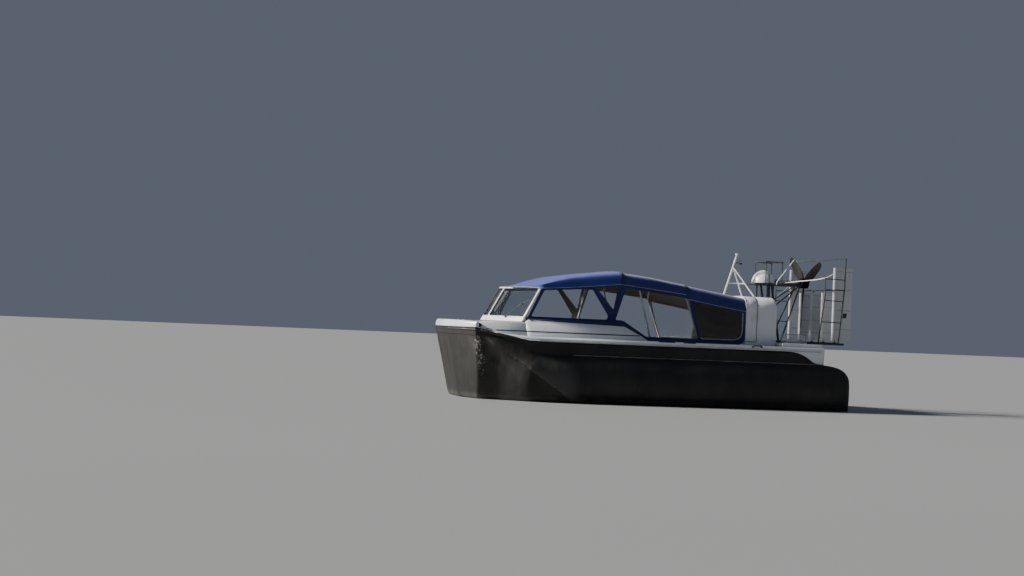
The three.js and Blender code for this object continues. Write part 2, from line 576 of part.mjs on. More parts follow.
// Skirt: inflated bags below the rail. Profiles run outwards from the rail.
const skirt = group('skirt');
const hullClear = hullBody(0.4);
const RAIL_FOOT = 1009.6;
const bagProfile = [
  [4, RAIL_FOOT], [24, 800], [110, 735], [205, 600], [252, 420], [250, 240], [205, 90], [140, 0], [60, 0],
  [-60, 70], [-200, 190], [-330, 290], [-460, 392], [-460, 500], [-60, RAIL_FOOT],
];
const kneeProfile = [
  [4, RAIL_FOOT], [24, 800], [100, 720], [175, 620], [205, 520], [170, 300], [100, 110], [30, 0], [-50, 0],
  [-110, 70], [-220, 190], [-330, 290], [-460, 392], [-460, 500], [-60, RAIL_FOOT],
];
// x, profile, outward share, top limit, inset of the inner side
const sideStations = [
  [KNUCKLE_X - 0.2, kneeProfile, 1, RAIL_FOOT, 0], [1780, bagProfile, 1, RAIL_FOOT, 0], [-2460, bagProfile, 1, RAIL_FOOT, 0],
  [-2660, bagProfile, 0.99, 900, 0], [-2760, bagProfile, 0.98, 806, 0], [-2985, bagProfile, 0.95, 790, 0],
  [-3180, bagProfile, 0.88, 762, 20], [-3300, bagProfile, 0.74, 715, 60], [-3385, bagProfile, 0.46, 630, 140],
  [-3425, bagProfile, 0.1, 500, 210],
];
const sideBag = loft(sideStations.map(([x, profile, out, top, inset]) => profile.map(([t, z]) => [
  x,
  HULL_HALF + (t > 24 ? 24 + (t - 24) * out : Math.max(t, -460 + inset)),
  Math.max(0, Math.min(z, top - (t > 24 ? t * 0.16 : 0))),
]))).subtract(hullClear);
addPair(skirt, 'skirt_side', sideBag, 'skirt');
const sternProfile = [[0.4, 800], [230, 780], [380, 690], [470, 530], [495, 330], [470, 110], [420, 0], [330, 0], [190, 90], [60, 220], [0.4, 396]];
add(skirt, 'skirt_stern', slabY(sternProfile.map(([back, z]) => [STERN_X - back, z]), -1029.7, 1029.7), 'skirt');

// Bow bag: outlines [x, y, z] from the rail down and back under the hull, knuckle to front corner
const OUT_Z = [930, 760, 620, 480, 300, 120, 0];
const BACK_Z = [0, 70, 190, 290, 392, 620];
const bowSections = [
  kneeProfile.map(([t, z]) => [KNUCKLE_X + 0.2, HULL_HALF + t, z]),
  {
    rail: [2820, 1345, 1062.4],
    out: [[2822, 1362], [2825, 1372], [2828, 1360], [2828, 1332], [2822, 1268], [2815, 1190], [2810, 1135]],
    back: [[2790, 1055], [2780, 1000], [2760, 930], [2750, 870], [2730, 810], [2730, 810]],
    tail: [2790, 1290, 1062.4],
  },
  {
    rail: [CORNER_X - 3, CORNER_HALF - 7, 1149],
    out: [[3219, 1205], [3206, 1203], [3192, 1200], [3176, 1196], [3148, 1150], [3122, 1060], [3110, 985]],
    back: [[3050, 920], [3010, 880], [2960, 820], [2930, 770], [2900, 720], [2900, 720]],
    tail: [3180, 1150, 1149],
  },
  {
    rail: [BOW_X - 4, BOW_HALF - 4, 1161],
    out: [[3520, 497], [3476, 488], [3442, 478], [3410, 470], [3368, 460], [3330, 450], [3305, 445]],
    back: [[3220, 430], [3180, 420], [3120, 400], [3080, 390], [3040, 380], [3040, 380]],
    tail: [3480, 440, 1161],
  },
];
const bowRing = (section, side) => (Array.isArray(section) ? section : [
  section.rail, ...section.out.map(([x, y], i) => [x, y, OUT_Z[i]]), ...section.back.map(([x, y], i) => [x, y, BACK_Z[i]]),
  section.tail,
]).map(([x, y, z]) => [x, side * y, z]);
add(skirt, 'skirt_bow', loft([
  ...bowSections.map((section) => bowRing(section, 1)),
  ...bowSections.slice().reverse().map((section) => bowRing(section, -1)),
]).subtract(hullClear), 'skirt');

// Seats, dash and steering wheel
const cabin = group('cabin');
const seatAt = (x, y, half, name, back = 930) => add(cabin, name, slabY([
  [x + 250, FLOOR_Z + GAP], [x + 270, FLOOR_Z + 430], [x - 190, FLOOR_Z + 400], [x - 190 - (back - 400) * 0.2075, FLOOR_Z + back],
  [x - 260 - back * 0.1505, FLOOR_Z + back - 10], [x - 260, FLOOR_Z + GAP],
], y - half, y + half), 'seat');
seatAt(1150, 420, 260, 'seat_helm');
seatAt(1150, -420, 260, 'seat_mate');
seatAt(50, 0, 900, 'bench_middle', 610);
seatAt(-1050, 0, 900, 'bench_rear');
add(cabin, 'dash', slabY([
  [CABIN_FRONT - GAP, FLOOR_Z + 120], [CABIN_FRONT - GAP, 1300], [1960, 1290], [1900, 1180], [2060, 1080], [2090, FLOOR_Z + 120],
], -960, 960), 'black');
const wheelCentre = new THREE.Vector3(1820, 420, 1240);
const wheelAxis = new THREE.Vector3(0.8, 0, 0.6).normalize();
const rimPoints = ringAround(wheelCentre, wheelAxis, 165, 12);
add(cabin, 'steering_wheel', join([
  ...rimPoints.map((p, i) => rod(p, rimPoints[(i + 1) % 12], 13, 6)),
  ...rimPoints.map((p) => knot(p, 15)),
  rod(rimPoints[0], rimPoints[6], 11, 6), rod(rimPoints[3], rimPoints[9], 11, 6),
  rod([wheelCentre.x, 420, wheelCentre.z], [wheelCentre.x + 79.95, 420, wheelCentre.z - 55.2], 22),
]), 'black');

export default root;
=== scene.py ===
import math
import bpy
from mathutils import Matrix, Vector, noise


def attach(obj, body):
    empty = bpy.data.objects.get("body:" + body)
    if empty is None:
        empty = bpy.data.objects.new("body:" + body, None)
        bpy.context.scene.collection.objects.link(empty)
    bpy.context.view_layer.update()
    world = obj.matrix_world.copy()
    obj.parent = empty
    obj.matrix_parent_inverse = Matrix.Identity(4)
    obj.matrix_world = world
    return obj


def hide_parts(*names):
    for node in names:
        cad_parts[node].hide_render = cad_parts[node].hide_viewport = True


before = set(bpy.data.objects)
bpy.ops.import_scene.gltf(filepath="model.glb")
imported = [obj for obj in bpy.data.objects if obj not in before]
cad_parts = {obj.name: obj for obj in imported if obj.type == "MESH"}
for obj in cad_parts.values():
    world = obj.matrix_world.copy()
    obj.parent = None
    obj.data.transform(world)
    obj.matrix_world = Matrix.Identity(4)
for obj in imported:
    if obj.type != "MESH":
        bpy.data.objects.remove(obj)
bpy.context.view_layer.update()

print("frame loaded:", len(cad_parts), "parts")
shift = 0.035                     # the lines' zero lies this far ahead of the middle


def at(x, y, z):                  # a point of the lines drawing, in metres
    return Vector((x + shift, y, z))


def upBy(height):
    return Vector((0, 0, height))


def deselect():
    if bpy.context.mode != "OBJECT":
        bpy.ops.object.mode_set(mode="OBJECT")
    bpy.ops.object.select_all(action="DESELECT")


def solo(obj):
    deselect()
    obj.select_set(True)
    bpy.context.view_layer.objects.active = obj
    return obj


def bakeModifiers(obj):
    solo(obj)
    for modifier in list(obj.modifiers):
        bpy.ops.object.modifier_apply(modifier=modifier.name)
    return obj


def mergeDoubles(obj, gap=0.0002, fill=False):
    solo(obj)
    bpy.ops.object.mode_set(mode="EDIT")
    bpy.ops.mesh.select_all(action="SELECT")
    bpy.ops.mesh.remove_doubles(threshold=gap)
    if fill:
        bpy.ops.mesh.fill_holes(sides=0)
    bpy.ops.mesh.normals_make_consistent(inside=False)
    bpy.ops.object.mode_set(mode="OBJECT")
    return obj


def addBevel(obj, width, segments=2, limit=32):
    bevel = obj.modifiers.new("edges", "BEVEL")
    bevel.width, bevel.segments, bevel.limit_method = width, segments, "ANGLE"
    bevel.angle_limit = math.radians(limit)
    return bakeModifiers(obj)


def addThickness(obj, thickness, offset=-1):
    wall = obj.modifiers.new("wall", "SOLIDIFY")
    wall.thickness, wall.offset = thickness, offset
    return bakeModifiers(obj)


def settle(obj, name, finish, body="hull", smooth=38, stands=()):
    # a list of pieces is joined to one
    if isinstance(obj, list):
        obj = joinPieces(obj)
    solo(obj)
    obj.name = obj.data.name = name
    bpy.ops.object.transform_apply(location=True, rotation=True, scale=True)
    if smooth:
        bpy.ops.object.shade_smooth_by_angle(angle=math.radians(smooth), keep_sharp_edges=False)
    obj.data.materials.clear()
    obj.data.materials.append(finishes[finish])
    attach(obj, body)
    if stands:
        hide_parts(*stands)
    return obj


def joinPieces(pieces):
    deselect()
    for piece in pieces:
        piece.select_set(True)
    bpy.context.view_layer.objects.active = pieces[0]
    if len(pieces) > 1:
        bpy.ops.object.join()
    return pieces[0]


def dressNode(node, finish, body="hull", edge=0.004, segments=2, smooth=38):
    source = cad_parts[node]     # a merged copy with softened edges stands for the part
    obj = bpy.data.objects.new(node + "_skin", source.data.copy())
    bpy.context.scene.collection.objects.link(obj)
    solo(obj)
    bpy.ops.mesh.customdata_custom_splitnormals_clear()
    mergeDoubles(obj, 0.00005)
    bpy.ops.object.mode_set(mode="EDIT")
    bpy.ops.mesh.select_all(action="SELECT")
    bpy.ops.mesh.dissolve_limited(angle_limit=math.radians(0.6))
    bpy.ops.object.mode_set(mode="OBJECT")
    if edge:
        addBevel(obj, edge, segments)
    return settle(obj, node + "_skin", finish, body, smooth, (node,))


def skinRows(rows, closed=False, caps=False):
    # a grid laid over rows of points; closed wraps each row round, caps closes the two ends
    wide = len(rows[0]) + (1 if closed else 0)
    deselect()
    bpy.ops.mesh.primitive_grid_add(x_subdivisions=wide - 1, y_subdivisions=len(rows) - 1, size=1)
    obj = bpy.context.object
    for vertex in obj.data.vertices:
        column = round((vertex.co.x + 0.5) * (wide - 1))
        row = round((vertex.co.y + 0.5) * (len(rows) - 1))
        vertex.co = rows[row][column % len(rows[0])]
    return mergeDoubles(obj, 0.00002, caps) if closed or caps else obj


def tube(path, radius, closed=False, sides=4):
    curve = bpy.data.curves.new("tube", "CURVE")
    curve.dimensions, curve.fill_mode = "3D", "FULL"
    curve.bevel_depth, curve.bevel_resolution, curve.use_fill_caps = radius, sides, not closed
    spline = curve.splines.new("POLY")
    spline.points.add(len(path) - 1)
    for point, place in zip(spline.points, path):
        point.co = (*place, 1)
    spline.use_cyclic_u = closed
    obj = bpy.data.objects.new("tube", curve)
    bpy.context.scene.collection.objects.link(obj)
    solo(obj)
    bpy.ops.object.convert(target="MESH")
    return mergeDoubles(bpy.context.object, 0.00002)


def plate(centre, size, edge=0.003, turn=None):
    # a bevelled block of the given size, turned about its own centre
    deselect()
    bpy.ops.mesh.primitive_cube_add(size=1, location=centre)
    obj = bpy.context.object
    obj.scale = size
    bpy.ops.object.transform_apply(location=False, rotation=False, scale=True)
    if turn:
        obj.rotation_euler = [math.radians(a) for a in turn]
    bpy.ops.object.transform_apply(location=True, rotation=True, scale=True)
    return addBevel(obj, edge, 2, 30)


def drum(start, end, radius, edge=0.003, sides=28):
    # a turned disc or boss between two points, with its rims rounded
    start, end = Vector(start), Vector(end)
    deselect()
    bpy.ops.mesh.primitive_cylinder_add(vertices=sides, radius=radius, depth=(end - start).length)
    obj = bpy.context.object
    turn = (end - start).to_track_quat("Z", "Y").to_matrix().to_4x4()
    obj.matrix_world = Matrix.Translation((start + end) / 2) @ turn
    bpy.ops.object.transform_apply(location=True, rotation=True, scale=True)
    return addBevel(obj, edge, 2, 40)


def spline(points, count):
    # evenly timed Catmull-Rom samples through the points
    points = [Vector(p) for p in points]
    last = len(points) - 1
    made = []
    for step in range(count):
        t = step * last / (count - 1)
        i = min(int(t), last - 1)
        f = t - i
        a, b, c, d = (points[max(0, min(last, i + k))] for k in (-1, 0, 1, 2))
        line = 2 * b + (c - a) * f
        made.append(0.5 * (line + (2 * a - 5 * b + 4 * c - d) * f * f + (3 * b - a - 3 * c + d) * f ** 3))
    return made


def evenly(points, spacing, closed=False):
    # the polyline cut to pieces of about one length, its corners kept
    points = [Vector(p) for p in points]
    ends = points[1:] + points[:1] if closed else points[1:]
    made = []
    for a, b in zip(points, ends):
        count = max(1, round((b - a).length / spacing))
        made += [a.lerp(b, k / count) for k in range(count)]
    return made if closed else made + [points[-1]]


def roundCorners(points, radius, steps=5):
    # closed loop with each corner turned into a short curve
    points = [Vector(p) for p in points]
    made = []
    for i, p in enumerate(points):
        before, after = points[i - 1] - p, points[(i + 1) % len(points)] - p
        reach = min(radius, before.length * 0.45, after.length * 0.45)
        a, b = p + before.normalized() * reach, p + after.normalized() * reach
        made += [(a.lerp(p, t)).lerp(p.lerp(b, t), t) for t in [k / steps for k in range(steps + 1)]]
    return made


def onSkin(nodes, start, direction):
    # the first point of those parts that is met from start
    start, direction = Vector(start), Vector(direction).normalized()
    met = []
    for node in nodes:
        surface = bpy.data.objects.get(node + "_skin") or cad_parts[node]
        hit, place, normal, _ = surface.ray_cast(start, direction)
        if hit:
            met.append(((place - start).length, place, normal))
    return min(met, key=lambda m: m[0])[1:] if met else (None, None)


def addPaleMask(obj, share):
    # share(point) from 0 to 1 is kept on the mesh for the finish to read
    paleShare = obj.data.attributes.new("dirtAndLight", "FLOAT", "POINT")
    paleShare.data.foreach_set("value", [share(v.co) for v in obj.data.vertices])


# base and shade are mixed by broad clouds of scale cloud; rough is its least and most
# grain and fold are a pattern's scale, strength and depth in metres
# under is a paler colour for the cloth's inside, painted light where light shows through
sailCloth = dict(cloud=3.2, rough=(0.72, 0.9), weave=620, fold=(5, 0.35, 0.012), sheen=0.25,
                 under=(0.30, 0.275, 0.26))
looks = {
    "whiteGelcoat": dict(base=(0.78, 0.80, 0.82), shade=(0.66, 0.69, 0.73), cloud=0.9, rough=(0.2, 0.36),
                         grain=(9, 0.05, 0.004), coat=0.35, grime=(0.42, 0.40, 0.36), stretch=(1, 1, 0.35)),
    "whitePaint": dict(base=(0.80, 0.81, 0.82), shade=(0.62, 0.63, 0.64), cloud=5, rough=(0.3, 0.5),
                       grain=(90, 0.1, 0.0006), grime=(0.25, 0.2, 0.16)),
    "greyTrim": dict(base=(0.52, 0.54, 0.56), shade=(0.36, 0.38, 0.4), cloud=4, rough=(0.45, 0.7),
                     grain=(160, 0.2, 0.0006), grime=(0.12, 0.11, 0.1)),
    "steel": dict(base=(0.50, 0.51, 0.53), shade=(0.33, 0.34, 0.35), cloud=6, rough=(0.25, 0.5),
                  grain=(240, 0.15, 0.0004), metal=1.0, stretch=(0.15, 1, 1)),
    "castIron": dict(base=(0.16, 0.16, 0.165), shade=(0.09, 0.085, 0.08), cloud=9, rough=(0.5, 0.8),
                     grain=(120, 0.5, 0.001), metal=0.6),
    "greyTube": dict(base=(0.42, 0.43, 0.45), shade=(0.30, 0.31, 0.33), cloud=7, rough=(0.3, 0.5),
                     grain=(200, 0.1, 0.0004), coat=0.2),
    "blackPaint": dict(base=(0.018, 0.019, 0.022), shade=(0.045, 0.046, 0.05), cloud=7, rough=(0.35, 0.62),
                       grain=(140, 0.25, 0.0006), grime=(0.14, 0.12, 0.1)),
    "blackPlastic": dict(base=(0.02, 0.021, 0.023), shade=(0.035, 0.036, 0.038), cloud=8, rough=(0.45, 0.62),
                         grain=(420, 0.35, 0.0004)),
    "blackSeal": dict(base=(0.012, 0.012, 0.014), shade=(0.025, 0.025, 0.027), cloud=12, rough=(0.5, 0.7),
                      grain=(300, 0.2, 0.0004)),
    "navyStripe": dict(base=(0.012, 0.016, 0.06), shade=(0.02, 0.025, 0.08), cloud=5, rough=(0.25, 0.35),
                       grain=(60, 0.05, 0.0004), coat=0.3),
    "rudderPaint": dict(base=(0.62, 0.64, 0.67), shade=(0.50, 0.52, 0.56), cloud=2.2, rough=(0.3, 0.5),
                        grain=(40, 0.12, 0.0015), coat=0.15, grime=(0.22, 0.2, 0.17), stretch=(1, 1, 0.3)),
    "blueCanvas": dict(sailCloth, base=(0.018, 0.040, 0.27), shade=(0.0158, 0.0355, 0.242)),
    # painted shade: the blue cloth made darker for the roof's middle and rear, which slope away from the
    # light
    "deepCanvas": dict(sailCloth, base=(0.014, 0.022, 0.160), shade=(0.0122, 0.0195, 0.142)),
    "navyCanvas": dict(sailCloth, base=(0.011, 0.017, 0.115), shade=(0.007, 0.011, 0.075), sheen=0.2),
    "paleBinding": dict(base=(0.30, 0.36, 0.55), shade=(0.2, 0.25, 0.42), cloud=9, rough=(0.6, 0.8),
                        weave=700, sheen=0.2),
    "whitePiping": dict(base=(0.62, 0.63, 0.66), shade=(0.5, 0.51, 0.54), cloud=12, rough=(0.35, 0.5),
                        grain=(260, 0.1, 0.0004)),
    # skirtCloth's pale colour is laid on as dirt at the foot and as painted glints and painted light on the
    # bow's folds
    "skirtCloth": dict(base=(0.0105, 0.0095, 0.0085), shade=(0.020, 0.0185, 0.0165), cloud=1.7,
                       rough=(0.42, 0.64), shine=0.38, weave=260, fold=(3.4, 0.5, 0.03),
                       dirtAndLight=(0.34, 0.33, 0.31), grime=(0.045, 0.043, 0.038), stretch=(1, 1, 0.5)),
    "skirtBinding": dict(base=(0.26, 0.26, 0.25), shade=(0.14, 0.14, 0.135), cloud=8, rough=(0.5, 0.7),
                         grain=(200, 0.3, 0.0006)),
    "seatVinyl": dict(base=(0.055, 0.060, 0.072), shade=(0.035, 0.038, 0.048), cloud=6, rough=(0.35, 0.55),
                      leather=230, sheen=0.05),
    "deckMat": dict(base=(0.085, 0.088, 0.092), shade=(0.055, 0.057, 0.06), cloud=5, rough=(0.7, 0.9),
                    grain=(350, 0.6, 0.001)),
    "darkVinyl": dict(base=(0.014, 0.009, 0.007), shade=(0.024, 0.015, 0.011), cloud=2.5, rough=(0.08, 0.2),
                      fold=(4, 0.2, 0.01), coat=0.4, alpha=0.93),
    "clearVinyl": dict(base=(0.80, 0.82, 0.82), shade=(0.74, 0.76, 0.76), cloud=3, rough=(0.05, 0.12),
                       fold=(4, 0.15, 0.006), glass=1.0, alpha=0.35),
    "bladePaint": dict(base=(0.006, 0.006, 0.0065), shade=(0.009, 0.009, 0.010), cloud=7, rough=(0.5, 0.65),
                       grain=(140, 0.2, 0.0005), shine=0.10),
    "clearGlass": dict(base=(0.80, 0.85, 0.86), shade=(0.74, 0.80, 0.82), cloud=2, rough=(0.02, 0.05),
                       glass=1.0),
    "lampLens": dict(base=(0.85, 0.86, 0.84), shade=(0.75, 0.76, 0.74), cloud=20, rough=(0.1, 0.2),
                     grain=(60, 0.2, 0.001), glass=0.4),
}


def makeFinish(name, look):
    material = bpy.data.materials.new(name)
    material.use_nodes = True
    nodes, links = material.node_tree.nodes, material.node_tree.links

    def feed(node, inputs):
        # each input takes a fixed value or the output of another node
        for key, value in inputs.items():
            if isinstance(value, bpy.types.NodeSocket):
                links.new(value, node.inputs[key])
            else:
                node.inputs[key].default_value = value

    def add(kind, inputs, result, **settings):
        node = nodes.new("ShaderNode" + kind)
        for key, value in settings.items():
            setattr(node, key, value)
        feed(node, inputs)
        return node.outputs[result]

    place = add("TexCoord", {}, "Object")
    centre = add("Mapping", {"Scale": look.get("stretch", (1, 1, 1)), "Vector": place}, "Vector")

    def cloud(scale, detail=5.0, distortion=0.0):
        inputs = {"Scale": scale, "Detail": detail, "Distortion": distortion, "Vector": centre}
        return add("TexNoise", inputs, "Fac")

    def blendTo(first, colour, factor, low, high):
        # first, a colour output or a fixed colour, turns to colour where factor passes from low to high
        ease = add("MapRange", {"From Min": low, "From Max": high, "Value": factor}, "Result")
        start = (*first, 1) if isinstance(first, tuple) else first
        return add("Mix", {"Factor": ease, 6: start, 7: (*colour, 1)}, 2, data_type="RGBA")

    colour = blendTo(look["base"], look["shade"], cloud(look["cloud"]), 0.38, 0.66)
    if "grime" in look:
        colour = blendTo(colour, look["grime"], cloud(look["cloud"] * 7, 8, 0.6), 0.60, 0.98)
    # the mesh's mask lays dirt, painted glints and painted light on the cloth
    if "dirtAndLight" in look:
        paleShare = add("Attribute", {}, "Fac", attribute_name="dirtAndLight")
        colour = blendTo(colour, look["dirtAndLight"], paleShare, 0.05, 1.0)
    if "under" in look:           # painted light: paler on the inside, where light shows through the cloth
        middle = {0: place, 1: (0, 1, 1), 2: (0, 0, -1.0)}
        outward = add("VectorMath", middle, "Vector", operation="MULTIPLY_ADD")
        facing = add("NewGeometry", {}, "Normal")
        inside = add("VectorMath", {0: outward, 1: facing}, "Value", operation="DOT_PRODUCT")
        colour = blendTo(colour, look["under"], inside, -0.10, -0.40)

    relief = []                   # (height output, strength, distance)
    if "fold" in look:
        scale, strength, distance = look["fold"]
        relief.append((cloud(scale, 3, 0.8), strength, distance))
    if "weave" in look:
        scale = {"Scale": look["weave"] / 2, "Distortion": 0.4, "Vector": place}
        threads = [add("TexWave", scale, "Fac", wave_type="BANDS", bands_direction=way) for way in "XYZ"]
        both = threads[0]
        for thread in threads[1:]:
            both = add("Math", {0: both, 1: thread}, "Value", operation="MAXIMUM")
        relief.append((both, 0.25, 0.0006))
    if "leather" in look:
        cells = {"Scale": look["leather"], "Vector": place}
        relief.append((add("TexVoronoi", cells, "Distance", feature="DISTANCE_TO_EDGE"), 0.4, 0.002))
    if "grain" in look:
        scale, strength, distance = look["grain"]
        relief.append((cloud(scale, 3), strength, distance))
    above = {}                    # the normal that the next relief builds on
    for height, strength, distance in relief:
        bump = {"Strength": strength, "Distance": distance, "Height": height}
        above = {"Normal": add("Bump", {**bump, **above}, "Normal")}

    low, high = look["rough"]
    gloss = {"From Min": 0.3, "From Max": 0.7, "To Min": low, "To Max": high,
             "Value": cloud(look["cloud"] * 3, 4)}
    feed(nodes["Principled BSDF"], {
        "Base Color": colour, "Roughness": add("MapRange", gloss, "Result"), **above,
        "Specular IOR Level": look.get("shine", 0.5), "Metallic": look.get("metal", 0.0),
        "Coat Weight": look.get("coat", 0.0), "Coat Roughness": 0.12, "Sheen Weight": look.get("sheen", 0.0),
        "Sheen Roughness": 0.5, "Transmission Weight": look.get("glass", 0.0),
        "Alpha": look.get("alpha", 1.0)})
    return material


finishes = {name: makeFinish(name, look) for name, look in looks.items()}
print("finishes made:", len(finishes))

photoCamera = {"place": (9.840, 30.669, 1.307), "yaw": -13.685, "pitch": 1.098, "roll": 2.459, "lens": 63.28,
               "sensor": 36, "reach": 400}


def setCamera():
    yaw, pitch, roll = (math.radians(photoCamera[k]) for k in ("yaw", "pitch", "roll"))
    ahead = Vector((math.sin(yaw) * math.cos(pitch), -math.cos(yaw) * math.cos(pitch), math.sin(pitch)))
    right = ahead.cross(upBy(1)).normalized()
    up = right.cross(ahead)
    across = math.cos(roll) * right + math.sin(roll) * up
    upward = -math.sin(roll) * right + math.cos(roll) * up
    bpy.ops.object.camera_add(location=photoCamera["place"])
    camera = bpy.context.object
    camera.name = "photo_camera"
    turn = Matrix((across, upward, -ahead)).transposed().to_4x4()
    camera.matrix_world = Matrix.Translation(photoCamera["place"]) @ turn
    camera.data.lens, camera.data.sensor_width = photoCamera["lens"], photoCamera["sensor"]
    camera.data.clip_end = photoCamera["reach"]
    bpy.context.scene.camera = camera


studio = {"sunFrom": (0.86, -0.22, 0.50), "sunPower": 8.4, "sunAngle": 9, "sunColour": (1.0, 0.96, 0.90),
          "sky": (0.62, 0.72, 0.92), "skyPower": 0.17, "fillPlace": (6, 14, 9), "fillAim": (0, 0, 1),
          "fillPower": 40, "fillSize": 9, "floor": (0.27, 0.275, 0.28), "floorSize": 260}


def setStudio():
    deselect()
    bpy.ops.mesh.primitive_plane_add(size=studio["floorSize"], location=(0, 0, -0.001))
    floor = bpy.context.object
    floor.name = "studio_floor"
    paint = bpy.data.materials.new("studioFloor")
    paint.use_nodes = True
    shader = paint.node_tree.nodes["Principled BSDF"]
    shader.inputs["Base Color"].default_value = (*studio["floor"], 1)
    shader.inputs["Roughness"].default_value = 0.6
    floor.data.materials.append(paint)
    bpy.ops.object.light_add(type="SUN", location=(10, -3, 8))
    sun = bpy.context.object
    sun.data.energy, sun.data.angle = studio["sunPower"], math.radians(studio["sunAngle"])
    sun.data.color = studio["sunColour"]
    sun.rotation_euler = Vector(studio["sunFrom"]).to_track_quat("Z", "Y").to_euler()
    bpy.ops.object.light_add(type="AREA", location=studio["fillPlace"])
    fill = bpy.context.object
    fill.data.energy, fill.data.size = studio["fillPower"], studio["fillSize"]
    towards = Vector(studio["fillPlace"]) - Vector(studio["fillAim"])
    fill.rotation_euler = towards.to_track_quat("Z", "Y").to_euler()
    world = bpy.data.worlds.new("sky")
    world.use_nodes = True
    background = world.node_tree.nodes["Background"]
    background.inputs["Color"].default_value = (*studio["sky"], 1)
    background.inputs["Strength"].default_value = studio["skyPower"]
    bpy.context.scene.world = world


setCamera()
setStudio()
print("camera and studio set")

# width of the softened edges of each moulding
hullParts = {"hull_tub": 0.006, "bow_band": 0.012, "foredeck": 0.010, "coaming_port": 0.008,
             "coaming_starboard": 0.008, "stern_deck": 0.010, "rear_bulkhead": 0.003, "engine_cover": 0.003}
for part, edge in hullParts.items():
    dressNode(part, "whiteGelcoat", edge=edge)
dressNode("rub_rail", "greyTrim", edge=0.004)
for side in ("port", "starboard"):
    dressNode("landing_runner_" + side, "steel", edge=0.005)
dressNode("engine_block", "castIron", edge=0.012)
dressNode("windscreen_frame", "whitePaint", edge=0.004)
for pane in ("centre", "port", "starboard"):
    dressNode("windscreen_glass_" + pane, "clearGlass", edge=0)
for hoop in ("front", "middle", "rear"):
    dressNode("hoop_" + hoop, "greyTube", edge=0, smooth=52)
dressNode("mast", "whitePaint", edge=0, smooth=52)
dressNode("tower", "blackPaint", edge=0, smooth=52)
dressNode("rudder_cage", "blackPaint", edge=0, smooth=52)
dressNode("shaft_bearing", "steel", edge=0.004)
dressNode("steering_wheel", "blackPlastic", edge=0, smooth=60)
dressNode("dash", "blackPlastic", edge=0.018, segments=4)
print("hard parts dressed")

canvasTop = {
    # x, height on the middle line, height of the edge, half width
    "front": [(2.455, 1.926, 1.924, 0.540), (2.330, 1.938, 1.930, 0.800), (2.200, 1.956, 1.924, 1.000),
              (2.094, 1.990, 1.914, 1.150), (1.852, 2.076, 1.9295, 1.150), (1.600, 2.144, 1.9495, 1.150),
              (1.180, 2.211, 1.990, 1.150), (0.664, 2.264, 2.046, 1.150)],
    "middle": [(0.663, 2.246, 2.040, 1.150), (0.100, 2.190, 1.982, 1.150), (-0.497, 2.092, 1.919, 1.150)],
    "rear": [(-0.498, 2.082, 1.848, 1.150), (-1.050, 2.000, 1.754, 1.150), (-1.5985, 1.912, 1.672, 1.150)],
    # the middle and rear take the blue cloth with painted shade
    "cloths": {"front": ("blueCanvas", "blue_canvas"), "middle": ("deepCanvas", "navy_canvas"),
               "rear": ("deepCanvas", "navy_canvas")},
    # the lengths of roof that the band of cloth over each step covers
    "seams": [(("front", 0.6645, 0.704), ("middle", 0.606, 0.652)),
              (("middle", -0.4965, -0.462), ("rear", -0.5450, -0.5100)), (("rear", -1.5985, -1.560),)],
    "hoops": (2.30, 0.640, 0.392, -0.470, -1.60), "sag": 0.012, "cloth": 0.004, "ripple": 0.0035,
    "pitch": 0.045, "across": 57, "piping": 0.0045, "seamProud": 0.0030, "seamCloth": 0.002}


def topSection(x, top, edge, half):
    side = top - edge
    port = [(half, edge), (half - side * 0.12, edge + side * 0.5),
            (half - side * 0.32 - 0.012, top - side * 0.16), (half * 0.8, top), (half * 0.4, top + 0.014),
            (0, top + 0.020)]
    return [(x, y, z) for y, z in port] + [(x, -y, z) for y, z in reversed(port[:-1])]


def topStation(stations, x):
    for a, b in zip(stations, stations[1:]):
        if b[0] <= x <= a[0] + 1e-6:
            f = (a[0] - x) / (a[0] - b[0])
            return tuple(p + (q - p) * f for p, q in zip(a, b))
    return stations[-1]


def canvasDip(x, y):
    # canvas hangs a little between its hoops, most on the middle line
    hoops = canvasTop["hoops"]
    for a, b in zip(hoops, hoops[1:]):
        if b < x < a:
            span = a - b
            hang = math.sin(math.pi * (a - x) / span) * max(0, 1 - (abs(y) / 1.1) ** 2)
            return canvasTop["sag"] * min(1, span / 0.8) * hang
    return 0


def canvasRows(section, low=None, high=None, proud=0.0):
    stations = canvasTop[section]
    start, end = high or stations[0][0], low or stations[-1][0]
    count = max(3, round((start - end) / canvasTop["pitch"]))
    rows = []
    for k in range(count + 1):
        x = start + (end - start) * k / count
        row = []
        for p in spline(topSection(*topStation(stations, x)), canvasTop["across"]):
            wave = noise.noise((p.x * 2.1, p.y * 5.5, 3.1)) + 0.5 * noise.noise((p.x * 7, p.y * 3, 9.7))
            loose = 0.35 + 0.65 * min(1, (1.16 - abs(p.y)) / 0.1)
            lift = proud + canvasTop["ripple"] * wave * loose - canvasDip(x, p.y)
            lean = p.y * 0.12 if abs(p.y) < 1.0 else p.y
            out = Vector((0, lean, 0.6 if abs(p.y) > 1.08 else 1)).normalized()
            row.append(at(p.x, p.y, p.z) + out * (lift - 0.001))
        rows.append(row)
    return rows


